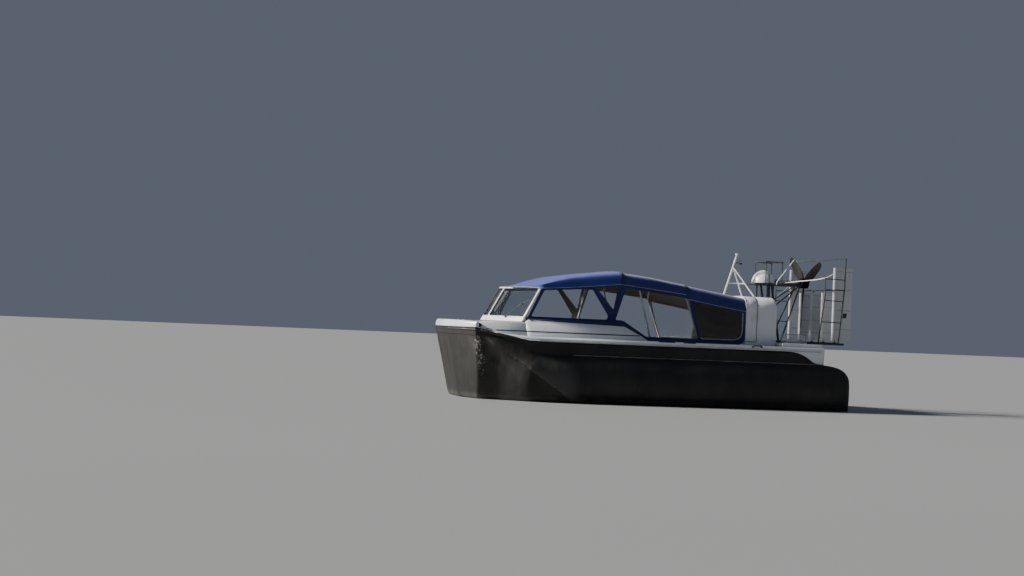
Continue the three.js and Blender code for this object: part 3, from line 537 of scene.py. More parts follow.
def makeCanvas():
    for section, (finish, slotName) in canvasTop["cloths"].items():
        rows = canvasRows(section)
        top = mergeDoubles(addThickness(skinRows(rows), canvasTop["cloth"], 1), 0.00001)
        settle(top, "canvas_" + section, finish, smooth=60, stands=("canopy_" + section,))
        cords = [tube([row[edge] + upBy(-0.002) for row in rows], canvasTop["piping"], sides=2)
                 for edge in (0, -1)]
        piping = settle(cords, "piping_" + section, "paleBinding", smooth=60)
    for number, strips in enumerate(canvasTop["seams"], 1):
        rows = []
        for section, low, high in strips:
            rows += canvasRows(section, low, high, canvasTop["seamProud"])
        band = mergeDoubles(addThickness(skinRows(rows), canvasTop["seamCloth"], 1), 0.00001)
        settle(band, f"roof_seam_{number}", "navyCanvas", smooth=60)


makeCanvas()
print("canvas top made")

curtains = {
    "plane": 1.143, "cloth": 0.005, "hem": 0.024, "lift": 0.006,
    "flat": (3.93, 1.05), "paneFlat": (0.93, 0.63),       # of the cloth and of a rear window, laid flat
    "outline": [(2.332, 1.3755), (0.635, 1.3755), (0.190, 1.1055), (-1.4700, 1.1055), (-1.5300, 1.1160),
                (-1.5720, 1.1450), (-1.5930, 1.1860), (-1.5985, 1.2350), (-1.5985, 1.6715), (-1.050, 1.7535),
                (-0.498, 1.8475), (-0.497, 1.9185), (0.100, 1.9815), (0.663, 2.0395), (0.664, 2.0455),
                (1.180, 1.9895), (1.600, 1.949), (1.852, 1.929), (2.094, 1.9135)],
    # each opening's corners and the radius that rounds them
    "openings": {
        "front": ([(2.262, 1.425), (0.925, 1.425), (0.905, 1.490), (1.205, 1.940), (1.620, 1.908),
                   (2.045, 1.880)], 0.030),
        "quarter": ([(0.815, 1.600), (0.770, 1.850), (0.738, 1.998), (1.120, 1.958)], 0.030),
        "middle": ([(0.770, 1.425), (0.655, 1.425), (0.215, 1.160), (-0.735, 1.160), (-0.578, 1.690),
                    (-0.545, 1.850), (0.100, 1.925), (0.605, 1.975)], 0.035),
        "rear": ([(-0.787, 1.158), (-1.380, 1.158), (-1.480, 1.182), (-1.535, 1.240), (-1.552, 1.330),
                  (-1.552, 1.648), (-1.050, 1.729), (-0.605, 1.800)], 0.030)},
    "sill": ((0.635, 1.375), (0.190, 1.105)),         # top and foot of the step in the sill
    "coaming": (1.200, 0.190, 1.090, 0.285),          # half width, spread, height of the deck, rise
    "flap": (2.322, -1.478), "flapTop": 0.046, "flapDrop": 0.055, "flapLow": 0.012, "flapCloth": 0.003,
    "strapRuns": ((0.079, -0.208), (-0.370, -0.587)), "strapCloth": 0.002,
    "strapSection": ((1.440, 1.0938), (1.452, 1.0922), (1.470, 1.0770))}


def flatPanel(loops, y, thickness):
    # loops of x, z filled between the outer one and the holes
    curve = bpy.data.curves.new("panel", "CURVE")
    curve.dimensions, curve.fill_mode, curve.extrude = "2D", "BOTH", thickness / 2
    for loop in loops:
        line = curve.splines.new("POLY")
        line.points.add(len(loop) - 1)
        for point, (x, z) in zip(line.points, loop):
            point.co = (x + shift, z, 0, 1)
        line.use_cyclic_u = True
    obj = bpy.data.objects.new("panel", curve)
    bpy.context.scene.collection.objects.link(obj)
    solo(obj)
    bpy.ops.object.convert(target="MESH")
    obj = bpy.context.object
    obj.matrix_world = Matrix.Translation((0, y, 0)) @ Matrix.Rotation(math.radians(90), 4, "X")
    bpy.ops.object.transform_apply(location=True, rotation=True, scale=True)
    return mergeDoubles(obj, 0.00002)


def flatLoop(points, radius):
    return [(p.x, p.y) for p in roundCorners([(x, z, 0) for x, z in points], radius)]


def evenPairs(pairs, spacing, closed=False):
    return [(p.x, p.y) for p in evenly([(a, b, 0) for a, b in pairs], spacing, closed)]


def grownLoop(loop, amount):
    # the loop with each point moved outwards in its own plane
    after = loop[1:] + loop[:1]
    turn = 1 if sum(a[0] * b[1] - b[0] * a[1] for a, b in zip(loop, after)) > 0 else -1
    made = []
    for i, (x, z) in enumerate(loop):
        along = Vector((after[i][0] - loop[i - 1][0], after[i][1] - loop[i - 1][1])).normalized()
        made.append((x + along.y * turn * amount, z - along.x * turn * amount))
    return made


def hemLoop(loop, side, width, lift):
    # a stitched double fold of cloth round an opening, padded in its middle
    loop = evenPairs(loop, 0.03, True)
    section = [(0.0, 0.0), (0.0, 0.003), (0.22, 0.8), (0.5, 1.0), (0.78, 0.8), (1.0, 0.003), (1.0, 0.0)]
    rings = [grownLoop(loop, width * s) for s, _ in section]
    base = curtains["plane"] + curtains["cloth"] / 2 - 0.0004
    rows = []
    for i in range(len(loop)):
        row = []
        for (s, h), ring in zip(section, rings):
            x, z = ring[i]
            pucker = 0.0012 * noise.noise((x * 22, z * 22, side)) if 0.1 < s < 0.9 else 0
            row.append(Vector((x + shift, side * (base + (h * lift if h > 0.01 else h) + pucker), z)))
        rows.append(row)
    return skinRows(rows + rows[:1], closed=True)


def sillAt(x):
    (high, highZ), (low, lowZ) = curtains["sill"]
    if x >= high:
        return highZ
    return lowZ if x <= low else lowZ + (highZ - lowZ) * (x - low) / (high - low)


def coamingFace(top, z):
    # half width at height z of the sloping face under a sill
    half, spread, deck, rise = curtains["coaming"]
    foot = half + spread * (top - deck) / rise
    return foot + (half - foot) * (z - deck) / (top - deck)


def flapRows(side):
    # the curtain's lower edge is turned out over the sill and down the coaming
    front, rear = curtains["flap"]
    step = curtains["sill"][0][0]
    rows, count = [], 96
    for k in range(count + 1):
        x = front - (front - rear) * k / count
        top = sillAt(x)
        if x > step:
            drop = 0.010 + (curtains["flapDrop"] - 0.010) * min(1, (front - x) / (front - step))
        else:
            drop = max(curtains["flapLow"], curtains["flapDrop"] - (step - x) * 0.13)
        drop = min(drop, top - 1.0935)
        wave = 0.0045 + 0.0016 * noise.noise((x * 6, side, 2.0)) + 0.0012 * math.sin(x * 31)
        points = [(1.1462, top + curtains["flapTop"]), (1.1500, top + 0.020), (1.1560, top + 0.0065),
                  (1.1760, top + 0.0045), (1.1970, top + 0.0045), (1.2055, top + 0.0010)]
        points += [(coamingFace(top, z) + wave, z) for z in (top - drop * 0.5, top - drop)]
        rows.append([at(x, side * y, z) for y, z in points])
    return rows


def makeCurtains():
    plane, cloth = curtains["plane"], curtains["cloth"]
    for side, word in ((1, "port"), (-1, "starboard")):
        loops = {name: flatLoop(*shape) for name, shape in curtains["openings"].items()}
        panel = flatPanel([curtains["outline"], *loops.values()], side * plane, cloth)
        flap = mergeDoubles(addThickness(skinRows(flapRows(side)), curtains["flapCloth"], 0), 0.00001)
        panel = settle([panel, flap], "curtain_" + word, "navyCanvas", smooth=40,
                       stands=("side_curtain_" + word,))
        hems = [hemLoop(loop, side, curtains["hem"], curtains["lift"]) for loop in loops.values()]
        hems = settle(hems, "curtain_hems_" + word, "navyCanvas", smooth=60)
        pane = flatPanel([grownLoop(loops["rear"], 0.008)], side * (plane - cloth / 2 - 0.0015), 0.002)
        vinyl = "darkVinyl" if side == 1 else "clearVinyl"
        pane = settle(pane, "vinyl_window_" + word, vinyl, smooth=30)
        # a white cord along the foot and the rear of the window
        cord = [Vector((x + shift, side * (plane + 0.004), z)) for x, z in grownLoop(loops["rear"], -0.010)]
        piping = settle(tube(cord[:35], 0.0055, sides=3), "window_piping_" + word, "whitePiping",
                        smooth=60)
        straps = []
        for start, end in curtains["strapRuns"]:      # flat straps that lie along the side deck
            line = [start + (end - start) * k / 12 for k in range(13)]
            rows = [[at(x, side * y, z + 0.003 * math.sin(math.pi * k / 12)) for k, x in enumerate(line)]
                    for y, z in curtains["strapSection"]]
            straps.append(addThickness(skinRows(rows), curtains["strapCloth"], 0))
        settle(straps, "tie_straps_" + word, "blackSeal", smooth=40)


makeCurtains()
print("side curtains made")


def fromMm(pairs):
    return [(a / 1000, b / 1000) for a, b in pairs]


skirt = {
    "railFoot": 1.0096, "railRise": 0.1514, "knuckle": 2.365, "hullHalf": 1.490, "step": 0.33, "fold": 0.79,
    # sections of the side bag, each a distance out from the hull's side and a height, in millimetres
    "bag": fromMm([(4, 1009.6), (24, 800), (110, 735), (205, 600), (252, 420), (250, 240), (205, 90),
                   (140, 0), (60, 0), (-60, 70), (-200, 190), (-330, 290), (-460, 392), (-460, 500),
                   (-60, 1009.6)]),
    "knee": fromMm([(4, 1009.6), (24, 800), (100, 720), (175, 620), (205, 520), (170, 300), (100, 110),
                    (30, 0), (-50, 0), (-110, 70), (-220, 190), (-330, 290), (-460, 392), (-460, 500),
                    (-60, 1009.6)]),
    # x, profile, outward share, top limit, inset of the inner side
    "stations": [(2.3648, "knee", 1, 1.0096, 0), (1.780, "bag", 1, 1.0096, 0), (-2.460, "bag", 1, 1.0096, 0),
                 (-2.660, "bag", 0.99, 0.900, 0), (-2.760, "bag", 0.98, 0.806, 0),
                 (-2.985, "bag", 0.95, 0.790, 0), (-3.180, "bag", 0.88, 0.762, 0.020),
                 (-3.300, "bag", 0.74, 0.715, 0.060), (-3.385, "bag", 0.46, 0.630, 0.140),
                 (-3.425, "bag", 0.10, 0.500, 0.210)],
    "outZ": [0.930, 0.760, 0.620, 0.480, 0.300, 0.120, 0], "backZ": [0, 0.070, 0.190, 0.290, 0.392, 0.620],
    "bow": [{"rail": (2.820, 1.345, 1.0624),
             "out": [(2.822, 1.362), (2.825, 1.372), (2.828, 1.360), (2.828, 1.332), (2.822, 1.268),
                     (2.815, 1.190), (2.810, 1.135)],
             "back": [(2.790, 1.055), (2.780, 1.000), (2.760, 0.930), (2.750, 0.870), (2.730, 0.810),
                      (2.730, 0.810)],
             "tail": (2.790, 1.290, 1.0624)},
            {"rail": (3.232, 1.203, 1.149),
             "out": [(3.219, 1.205), (3.206, 1.203), (3.192, 1.200), (3.176, 1.196), (3.148, 1.150),
                     (3.122, 1.060), (3.110, 0.985)],
             "back": [(3.050, 0.920), (3.010, 0.880), (2.960, 0.820), (2.930, 0.770), (2.900, 0.720),
                      (2.900, 0.720)],
             "tail": (3.180, 1.150, 1.149)},
            {"rail": (3.566, 0.496, 1.161),
             "out": [(3.520, 0.497), (3.476, 0.488), (3.442, 0.478), (3.410, 0.470), (3.368, 0.460),
                     (3.330, 0.450), (3.305, 0.445)],
             "back": [(3.220, 0.430), (3.180, 0.420), (3.120, 0.400), (3.080, 0.390), (3.040, 0.380),
                      (3.040, 0.380)],
             "tail": (3.480, 0.440, 1.161)}],
    # the rear bag's section, each a distance back from the hull and a height, in millimetres
    "stern": fromMm([(0.4, 800), (230, 780), (380, 690), (470, 530), (495, 330), (470, 110), (420, 0),
                     (330, 0), (190, 90), (60, 220), (0.4, 396)]),
    "sternX": -2.950, "sternHalf": 1.0297, "sternRows": 30, "lobe": 0.343,
    # the fold from the bow corner down to the foot, and the crumpled line down the corner
    "ridge": ((3.150, 1.250, 1.100), (1.780, 1.650, 0.130)),
    "crinkle": [(3.205, 1.220, 1.020), (3.150, 1.255, 0.740), (3.085, 1.285, 0.440), (3.040, 1.270, 0.060)],
    "welt": 0.0055, "weltOut": 0.0275, "weltZ": 0.801,
    # how far each kind of fold stands out
    "swell": 0.007, "ripple": 0.003, "sideLobe": 0.004, "ridgeRise": 0.030, "ridgeHollow": 0.034,
    "coarse": 0.011, "fine": 0.007, "gather": 0.005, "sternLobe": 0.014,
    "weltEnd": ((-2.56, 1.5175, 0.801), (-2.70, 1.517, 0.800), (-2.80, 1.512, 0.797))}


def sideRing(x, profile, out, top, inset):
    ring = []
    for t, z in skirt[profile]:
        y = skirt["hullHalf"] + (0.024 + (t - 0.024) * out if t > 0.024 else max(t, -0.460 + inset))
        ring.append(Vector((x, y, max(0, min(z, top - (t * 0.16 if t > 0.024 else 0))))))
    return ring


def bowRing(section):
    out = [Vector((x, y, z)) for (x, y), z in zip(section["out"], skirt["outZ"])]
    back = [Vector((x, y, z)) for (x, y), z in zip(section["back"], skirt["backZ"])]
    return [Vector(section["rail"])] + out + back + [Vector(section["tail"])]


def between(a, b, share):
    return [p.lerp(q, share) for p, q in zip(a, b)]


def portRings():
    rings = []
    stations = [sideRing(*s) for s in skirt["stations"]]
    for a, b in zip(stations[::-1], stations[::-1][1:]):       # stern to knuckle
        count = max(1, round(abs(a[0].x - b[0].x) / skirt["step"]))
        rings += [between(a, b, k / count) for k in range(count)]
    knuckle, first, corner, bow = stations[0], *[bowRing(s) for s in skirt["bow"]]
    for a, b, shares in ((knuckle, first, (0, 0.33, 0.66)), (first, corner, (0, 0.4, 0.82)),
                         (corner, bow, (0, 0.10, 0.4, 0.7, 0.9, 1))):
        rings += [between(a, b, share) for share in shares]
    return rings


def distanceTo(p, a, b):
    a, b = Vector(a), Vector(b)
    f = max(0, min(1, (p - a).dot(b - a) / (b - a).length_squared))
    return (p - a.lerp(b, f)).length


def smoothStep(low, high, value):
    f = max(0, min(1, (value - low) / (high - low)))    # low may be the greater one
    return f * f * (3 - 2 * f)


def bell(distance, width):
    return math.exp(-(distance / width) ** 2)


def creaseEdges(obj, test, value):
    solo(obj)
    bpy.ops.object.mode_set(mode="EDIT")
    bpy.ops.mesh.select_all(action="DESELECT")
    bpy.ops.mesh.select_mode(type="EDGE")
    bpy.ops.object.mode_set(mode="OBJECT")
    for edge in obj.data.edges:
        a, b = (obj.data.vertices[i].co for i in edge.vertices)
        edge.select = test(a, b)
    bpy.ops.object.mode_set(mode="EDIT")
    bpy.ops.transform.edge_crease(value=value)
    bpy.ops.mesh.select_mode(type="VERT")
    bpy.ops.object.mode_set(mode="OBJECT")


def keyOf(p):
    return (round(p.x, 4), round(p.y, 4), round(p.z, 4))


def ridgeAt(p):
    # distance to the fold, and a number that is above 0 below it
    a, b = (Vector(end) for end in skirt["ridge"])
    return distanceTo(p, a, b), (p - a).cross(b - a).y


def cornerAt(p):
    line = skirt["crinkle"]
    return min(distanceTo(p, a, b) for a, b in zip(line, line[1:]))


def wrinkle(p):
    # how far the cloth stands out of its even shape at p, a point of the lines with y to port
    ahead = max(0, min(1, (p.x - skirt["knuckle"]) / 1.2))
    rail = skirt["railFoot"] + skirt["railRise"] * ahead ** 0.72
    top = smoothStep(rail + 0.004, rail - 0.045, p.z)
    foot = smoothStep(0.0, 0.10, p.z)
    move = skirt["swell"] * noise.noise((p.x * 1.9, p.y * 1.9, p.z * 1.1))
    move += skirt["ripple"] * noise.noise((p.x * 7.5, p.y * 7.5, p.z * 2.6 + 5))
    if p.z < skirt["fold"]:           # shallow lobes down the side bag
        lobes = math.sin(p.x * 8.2 + 1.3 * noise.noise((p.x, p.z * 2, 0)))
        move += skirt["sideLobe"] * lobes * smoothStep(skirt["fold"], 0.6, p.z)
    near, below = ridgeAt(p)
    if p.x > 1.7 and near < 0.4:      # the fold is sharp on its lower side, with a hollow under it
        fade = smoothStep(0.02, 0.35, (p - Vector(skirt["ridge"][0])).length)
        move += skirt["ridgeRise"] * fade * bell(near, 0.045 if below > 0 else 0.15)
        move -= skirt["ridgeHollow"] * fade * bell(near - 0.15, 0.085) * (1 if below > 0 else 0)
    corner = cornerAt(p)
    if corner < 0.2:
        coarse = skirt["coarse"] * noise.noise((p.x * 18, p.y * 18, p.z * 30))
        fine = skirt["fine"] * noise.noise((p.x * 52, p.y * 52, p.z * 66))
        move += bell(corner, 0.065) * (coarse + fine)
    if p.x > 3.0:                     # cloth gathered where it is laced under the bow band
        move += skirt["gather"] * smoothStep(1.02, 1.13, p.z) * math.sin(95 * p.y - 60 * p.x)
    return move * top * foot


def skirtDirtAndLight(p):
    # painted glints as pale flecks on the crumpled corner, dried dirt at the foot, a pale line on the fold
    # and painted light above it
    p = Vector((p.x - shift, abs(p.y), p.z))
    spots = noise.noise((p.x * 40 + p.z * 14, p.y * 40, p.z * 44))
    # painted glints: pale flecks along the crumpled corner
    paleShare = 1.4 * smoothStep(0.20, 0.40, spots) * bell(cornerAt(p), 0.058)
    paleShare += 0.22 * smoothStep(0.16, 0.02, p.z) * (0.6 + 0.4 * noise.noise((p.x * 5, p.y * 5, 1)))
    # a little paler towards the bow
    paleShare += 0.035 * smoothStep(2.9, 3.4, p.x)
    near, below = ridgeAt(p)
    # painted light: the face above the fold turns up to the light and is made paler
    if below <= 0:
        low = smoothStep(0.90, 0.50, p.z)
        paleShare += 0.170 * smoothStep(1.30, 1.85, p.x) * smoothStep(2.85, 2.25, p.x) * low
    # a pale line along the fold
    return max(0, min(1, paleShare + (0.14 * bell(near, 0.03) if p.x > 1.7 else 0)))


def moveSkin(obj, shape):
    # each point is moved by shape(place, normal), then the underside is let down to the floor
    mesh = obj.data
    places = [v.co.copy() for v in mesh.vertices]
    normals = [v.normal.copy() for v in mesh.vertices]
    moved = [shape(p, n) for p, n in zip(places, normals)]
    low = min(p.z for p in moved)
    flat = []
    for p in moved:
        flat += [p.x, p.y, max(0, p.z - low * max(0, 1 - p.z / 0.3))]
    mesh.vertices.foreach_set("co", flat)
    mesh.update()


def inflate(obj, levels):
    smoothing = obj.modifiers.new("air", "SUBSURF")
    smoothing.levels = smoothing.render_levels = levels
    return bakeModifiers(obj)


def bagShape(p, normal):
    flat = Vector((p.x - shift, abs(p.y), p.z))
    outward = normal.y * p.y > -0.3 or flat.x > 3.1
    return p + normal * (wrinkle(flat) if outward else 0)


def rearShape(p, normal):
    half = skirt["sternHalf"]
    lobes = skirt["sternLobe"] * (abs(math.cos(math.pi * p.y / skirt["lobe"])) ** 0.5 - 0.8)
    lobes += 0.004 * noise.noise((p.y * 6, p.z * 3, 4))
    edge = smoothStep(half, half - 0.06, abs(p.y)) if abs(p.y) > half - 0.06 else 1
    return p + normal * lobes * smoothStep(0, 0.12, p.z) * smoothStep(2.92, 3.1, -p.x) * edge


def finishBag(bag, name, shape, nodes):
    moveSkin(bag, shape)
    addPaleMask(bag, skirtDirtAndLight)
    settle(bag, name, "skirtCloth", smooth=0, stands=nodes)
    solo(bag)
    bpy.ops.object.shade_smooth()


def makeSkirt():
    port = portRings()
    mirrored = [[Vector((p.x, -p.y, p.z)) for p in ring] for ring in port[::-1]]
    front = [between(port[-1], mirrored[0], k) for k in (0.08, 0.29, 0.5, 0.71, 0.92)]
    rings = [[p + Vector((shift, 0, 0)) for p in ring] for ring in port + front + mirrored]
    bag = skinRows(rings, closed=True, caps=True)
    rail, tail = {keyOf(r[0]) for r in rings}, {keyOf(r[-1]) for r in rings}
    fold = {keyOf(r[1]) for r in rings if r[1].x < 2.5}
    creaseEdges(bag, lambda a, b: any(keyOf(a) in s and keyOf(b) in s for s in (rail, tail)), 1.0)
    creaseEdges(bag, lambda a, b: keyOf(a) in fold and keyOf(b) in fold, 0.75)
    inflate(bag, 3)
    finishBag(bag, "skirt_bag", bagShape, ("skirt_side_port", "skirt_side_starboard", "skirt_bow"))

    half, count = skirt["sternHalf"], skirt["sternRows"]
    rows = [[at(skirt["sternX"] - back, -half + 2 * half * k / count, z) for back, z in skirt["stern"]]
            for k in range(count + 1)]
    rear = skinRows(rows, closed=True, caps=True)

    def isRim(a, b):
        ends = abs(abs(a.y) - half) < 1e-4 and abs(abs(b.y) - half) < 1e-4
        return ends or (a.x > -2.92 and b.x > -2.92)

    creaseEdges(rear, isRim, 1.0)
    inflate(rear, 2)
    finishBag(rear, "skirt_rear_bag", rearShape, ("skirt_stern",))

    welts = []
    for side in (1, -1):
        out = skirt["hullHalf"] + skirt["weltOut"]
        run = [at(1.60 - 0.1 * k, side * out, skirt["weltZ"]) for k in range(41)]
        run += [at(x, side * y, z) for x, y, z in skirt["weltEnd"]]
        welts.append(tube(run, skirt["welt"], sides=2))
    settle(welts, "skirt_welt", "skirtBinding", smooth=60)


makeSkirt()

hem = {"proud": 0.006, "drop": 0.075, "lean": 0.12, "cloth": 0.003, "gather": 0.0028, "trim": 0.006,
       "bandTop": 1.207, "columns": 29, "pitch": 0.0355, "from": 3.180, "frontHalf": 1.170,
       "frontColumns": 68,
       "rail": [(3.232, 1.149), (2.820, 1.0624), (2.365, 1.0096), (2.0, 1.0096)],
       "top": [(3.232, 1.209), (2.500, 1.052), (2.365, 1.023), (2.0, 1.013)]}


def levelAt(marks, x):
    for (a, za), (b, zb) in zip(marks, marks[1:]):
        if b <= x <= a:
            return za + (zb - za) * (a - x) / (a - b)
    return marks[0][1]


def hemColumn(start, direction, low, high, wave):
    # points up the hull's face; below the rail the strip follows the bag down and hides its edge
    column, solid = [], ["bow_band", "rub_rail", "hull_tub", "foredeck"]
    direction = Vector(direction)
    for t in [k / 9 for k in range(9, -1, -1)]:
        z = low + (high - low) * t
        place, _ = onSkin(solid, Vector((start[0], start[1], z)), direction)
        if place:
            column.append(place - direction * (hem["proud"] + hem["gather"] * wave * (1 - t)))
        elif column:
            column.append(Vector((column[-1].x, column[-1].y, z)))
        else:
            return None
    foot = column[-1]
    for drop in (0.025, 0.050, hem["drop"]):
        column.append(foot + direction * drop * hem["lean"] + upBy(-drop))
    return column[::-1]


def sideColumns(side):
    columns = []
    for k in range(hem["columns"]):
        x = hem["from"] - hem["pitch"] * k
        columns.append(hemColumn((x + shift, side * 2.2), (0, -side, 0), levelAt(hem["rail"], x),
                                 levelAt(hem["top"], x), 0.6 + 0.4 * math.sin(x * 70)))
    return [column for column in columns if column]


def cornerColumns(side):
    # round the corner of the band, from the front to the side
    columns = []
    for turn in (10, 25, 42, 58, 75):
        away = Vector((math.cos(math.radians(turn)), side * math.sin(math.radians(turn)), 0))
        start = at(3.212, side * 1.185, 0) + away * 0.6
        columns.append(hemColumn((start.x, start.y), -away, 1.150, hem["bandTop"], 0.5))
    return [column for column in columns if column]


def frontColumns():
    columns = []
    for k in range(hem["frontColumns"] + 1):
        y = hem["frontHalf"] - 2 * hem["frontHalf"] * k / hem["frontColumns"]
        low = 1.161 - 0.012 * max(0, abs(y) - 0.5) / 0.7
        columns.append(hemColumn((4.5, y), (-1, 0, 0), low, hem["bandTop"], 0.5 + 0.5 * math.sin(y * 62)))
    return [column for column in columns if column]


def makeSkirtHem():
    # the cloth is laced up over the lower edge of the bow band and of the rail behind it
    sides = {side: sideColumns(side) for side in (1, -1)}
    columns = (cornerColumns(1) + sides[1])[::-1] + frontColumns() + cornerColumns(-1) + sides[-1]
    strip = addThickness(skinRows(columns), hem["cloth"], 0)
    strip = settle(mergeDoubles(strip, 0.00001), "skirt_hem", "skirtCloth", smooth=60)
    trims = []
    for side in (1, -1):
        line = [column[-1] + Vector((0, side * 0.002, 0.004)) for column in sides[side]]
        trims.append(tube(line, hem["trim"], sides=2))
    settle(trims, "rail_trim", "whitePaint", smooth=60)


makeSkirtHem()
print("skirt made")

screen = {
    "base": 1.322, "top": 1.915, "centreBase": (2.826, 0.200), "centreTop": (2.500, 0.175),
    "cornerBase": (2.408, 1.110), "cornerTop": (2.087, 1.095), "lower": 0.155, "upper": 0.955, "inner": 0.025,
    "outer": 0.962, "proud": 0.0165, "seal": 0.0075, "corner": 0.022, "centreCorner": 0.016,
    # the wiper's points, each a share along the pane and a share up it
    "pivot": (0.515, 0.120), "elbow": (0.775, 0.500), "bladeLow": (0.700, 0.470), "bladeTop": (0.900, 0.620)}


def screenPoint(side, along, up):
    base = Vector(screen["centreBase"]).lerp(Vector(screen["cornerBase"]), along)
    top = Vector(screen["centreTop"]).lerp(Vector(screen["cornerTop"]), along)
    p = base.lerp(top, up)
    return at(p.x, side * p.y, screen["base"] + (screen["top"] - screen["base"]) * up)


def paneSeals(corners, out, radius):
    seals = []
    for face in (1, -1):
        loop = [p + out * face * screen["proud"] for p in roundCorners(corners, radius, 4)]
        seals.append(tube(loop, screen["seal"], True, 2))
    return seals


def makeWiper(out):
    def place(mark, lift):
        return screenPoint(1, *screen[mark]) + out * (screen["proud"] + lift)

    arm = [place("pivot", 0.004), place("pivot", 0.030), place("elbow", 0.022)]
    wiper = [tube(arm, 0.0055, sides=2),
             tube([place("bladeLow", 0.012), place("bladeTop", 0.012)], 0.0065, sides=2),
             drum(place("pivot", -0.003), place("pivot", 0.036), 0.016),
             plate(place("elbow", 0.017), (0.03, 0.02, 0.03), 0.004)]
    settle(wiper, "wiper", "blackPlastic")


def makeScreenTrim():
    low, high, inner, outer = screen["lower"], screen["upper"], screen["inner"], screen["outer"]
    seals = []
    for side in (1, -1):
        marks = ((inner, low), (outer, low), (outer, high), (inner, high))
        corners = [screenPoint(side, along, up) for along, up in marks]
        out = (corners[1] - corners[0]).cross(corners[3] - corners[0]).normalized() * side
        if out.x < 0:
            out = -out
        seals += paneSeals(corners, out, screen["corner"])
        if side == 1:
            makeWiper(out)
    marks = ((-1, low), (1, low), (1, high), (-1, high))
    pane = [screenPoint(side, 0, up) + Vector((0.0, -side * 0.022, 0)) for side, up in marks]
    seals += paneSeals(pane, Vector((0.876, 0, 0.482)), screen["centreCorner"])
    settle(seals, "windscreen_seals", "blackSeal", smooth=60)


makeScreenTrim()

deckGear = {
    "stripeZ": 1.170, "stripeFrom": 2.875, "stripeTo": 0.354, "stripe": 0.0085, "stripeSteps": 90,
    "stripeProud": 0.0016, "stripeFilm": 0.0022, "loopRod": 0.0062, "handleRod": 0.0095, "edgeRod": 0.005,
    "loop": (3.082, 2.950), "loopY": 1.255, "arch": ((0, 0), (0.10, 0.030), (0.35, 0.043), (0.65, 0.043),
                                                     (0.90, 0.030), (1, 0)),
    "handle": [(-1.618, 1.478, 1.062), (-1.618, 1.512, 1.072), (-1.638, 1.520, 1.082), (-1.755, 1.520, 1.082),
               (-1.775, 1.512, 1.072), (-1.775, 1.478, 1.062)],
    "lamp": (3.150, 1.243), "hatchX": 3.020, "hatch": (0.44, 0.60, 0.016), "trim": (0.226, 0.306),
    # x, y, height over the deck, size of the two hinges and of the latch
    "hatchParts": ((2.800, -0.2, 0.010, (0.05, 0.07, 0.016), 0.003),
                   (2.800, 0.2, 0.010, (0.05, 0.07, 0.016), 0.003),
                   (3.225, 0, 0.016, (0.05, 0.09, 0.014), 0.004))}


def makeStripe(side):
    rows = [[], []]
    start, end, count = deckGear["stripeFrom"], deckGear["stripeTo"], deckGear["stripeSteps"]
    for k in range(count + 1):
        x = start + (end - start) * k / count
        for row, lift in zip(rows, (-deckGear["stripe"], deckGear["stripe"])):
            above = at(x, side * 2.2, deckGear["stripeZ"] + lift)
            place, normal = onSkin(["foredeck", "coaming_port", "coaming_starboard"], above, (0, -side, 0))
            row.append(place + normal * deckGear["stripeProud"])
    return addThickness(skinRows(rows), deckGear["stripeFilm"], 0)


def makeLoop(side):
    # mooring loop on the foredeck's edge
    under = ["hull_tub", "foredeck", "rub_rail"]
    feet = [onSkin(under, at(x, side * deckGear["loopY"], 2.2), (0, 0, -1))[0] for x in deckGear["loop"]]
    arch = [feet[0].lerp(feet[1], share) + upBy(rise) for share, rise in deckGear["arch"]]
    pads = [plate(foot + upBy(0.001), (0.034, 0.026, 0.008), 0.003) for foot in feet]
    return [tube(spline(arch, 24), deckGear["loopRod"], sides=3)] + pads


def makeHandle(side):
    line = [at(x, side * y, z) for x, y, z in deckGear["handle"]]
    pads = [plate(at(x, side * 1.480, 1.064), (0.036, 0.030, 0.030), 0.005, (side * -30, 0, 0))
            for x in (deckGear["handle"][0][0], deckGear["handle"][-1][0])]
    return [tube(spline(line, 22), deckGear["handleRod"], sides=3)] + pads


def makeSideLamp(side):
    x, z = deckGear["lamp"]
    place, _ = onSkin(["foredeck", "hull_tub", "bow_band"], at(x, side * 2.2, z), (0, -side, 0))
    out = Vector((0.12, side, 0)).normalized()
    return [drum(place - out * 0.030, place + out * 0.026, 0.036, 0.006),
            drum(place + out * 0.020, place + out * 0.030, 0.018, 0.003)]


def makeDeckGear():
    stripes, loops, handles, lamps = [], [], [], []
    for side in (1, -1):
        stripes.append(makeStripe(side))
        loops += makeLoop(side)
        handles += makeHandle(side)
        lamps += makeSideLamp(side)
    settle(stripes, "pinstripe", "navyStripe", smooth=30)
    settle(loops, "mooring_loops", "blackPlastic")
    settle(handles, "grab_handles", "blackPlastic")
    settle(lamps, "side_lamps", "blackPlastic")
    x, (halfLong, halfWide) = deckGear["hatchX"], deckGear["trim"]
    surface, _ = onSkin(["foredeck"], at(x, 0, 2.4), (0, 0, -1))
    lid = plate(surface + upBy(0.005), deckGear["hatch"], 0.006)
    settle(lid, "bow_hatch", "whiteGelcoat")
    marks = ((-1, -1), (1, -1), (1, 1), (-1, 1))
    corners = [at(x + a * halfLong, b * halfWide, surface.z + 0.004) for a, b in marks]
    trim = [tube(roundCorners(corners, 0.03, 4), deckGear["edgeRod"], True, 2)]
    for x, y, rise, size, edge in deckGear["hatchParts"]:
        trim.append(plate(at(x, y, surface.z + rise), size, edge))
    settle(trim, "hatch_trim", "blackSeal")


makeDeckGear()
print("deck gear made")

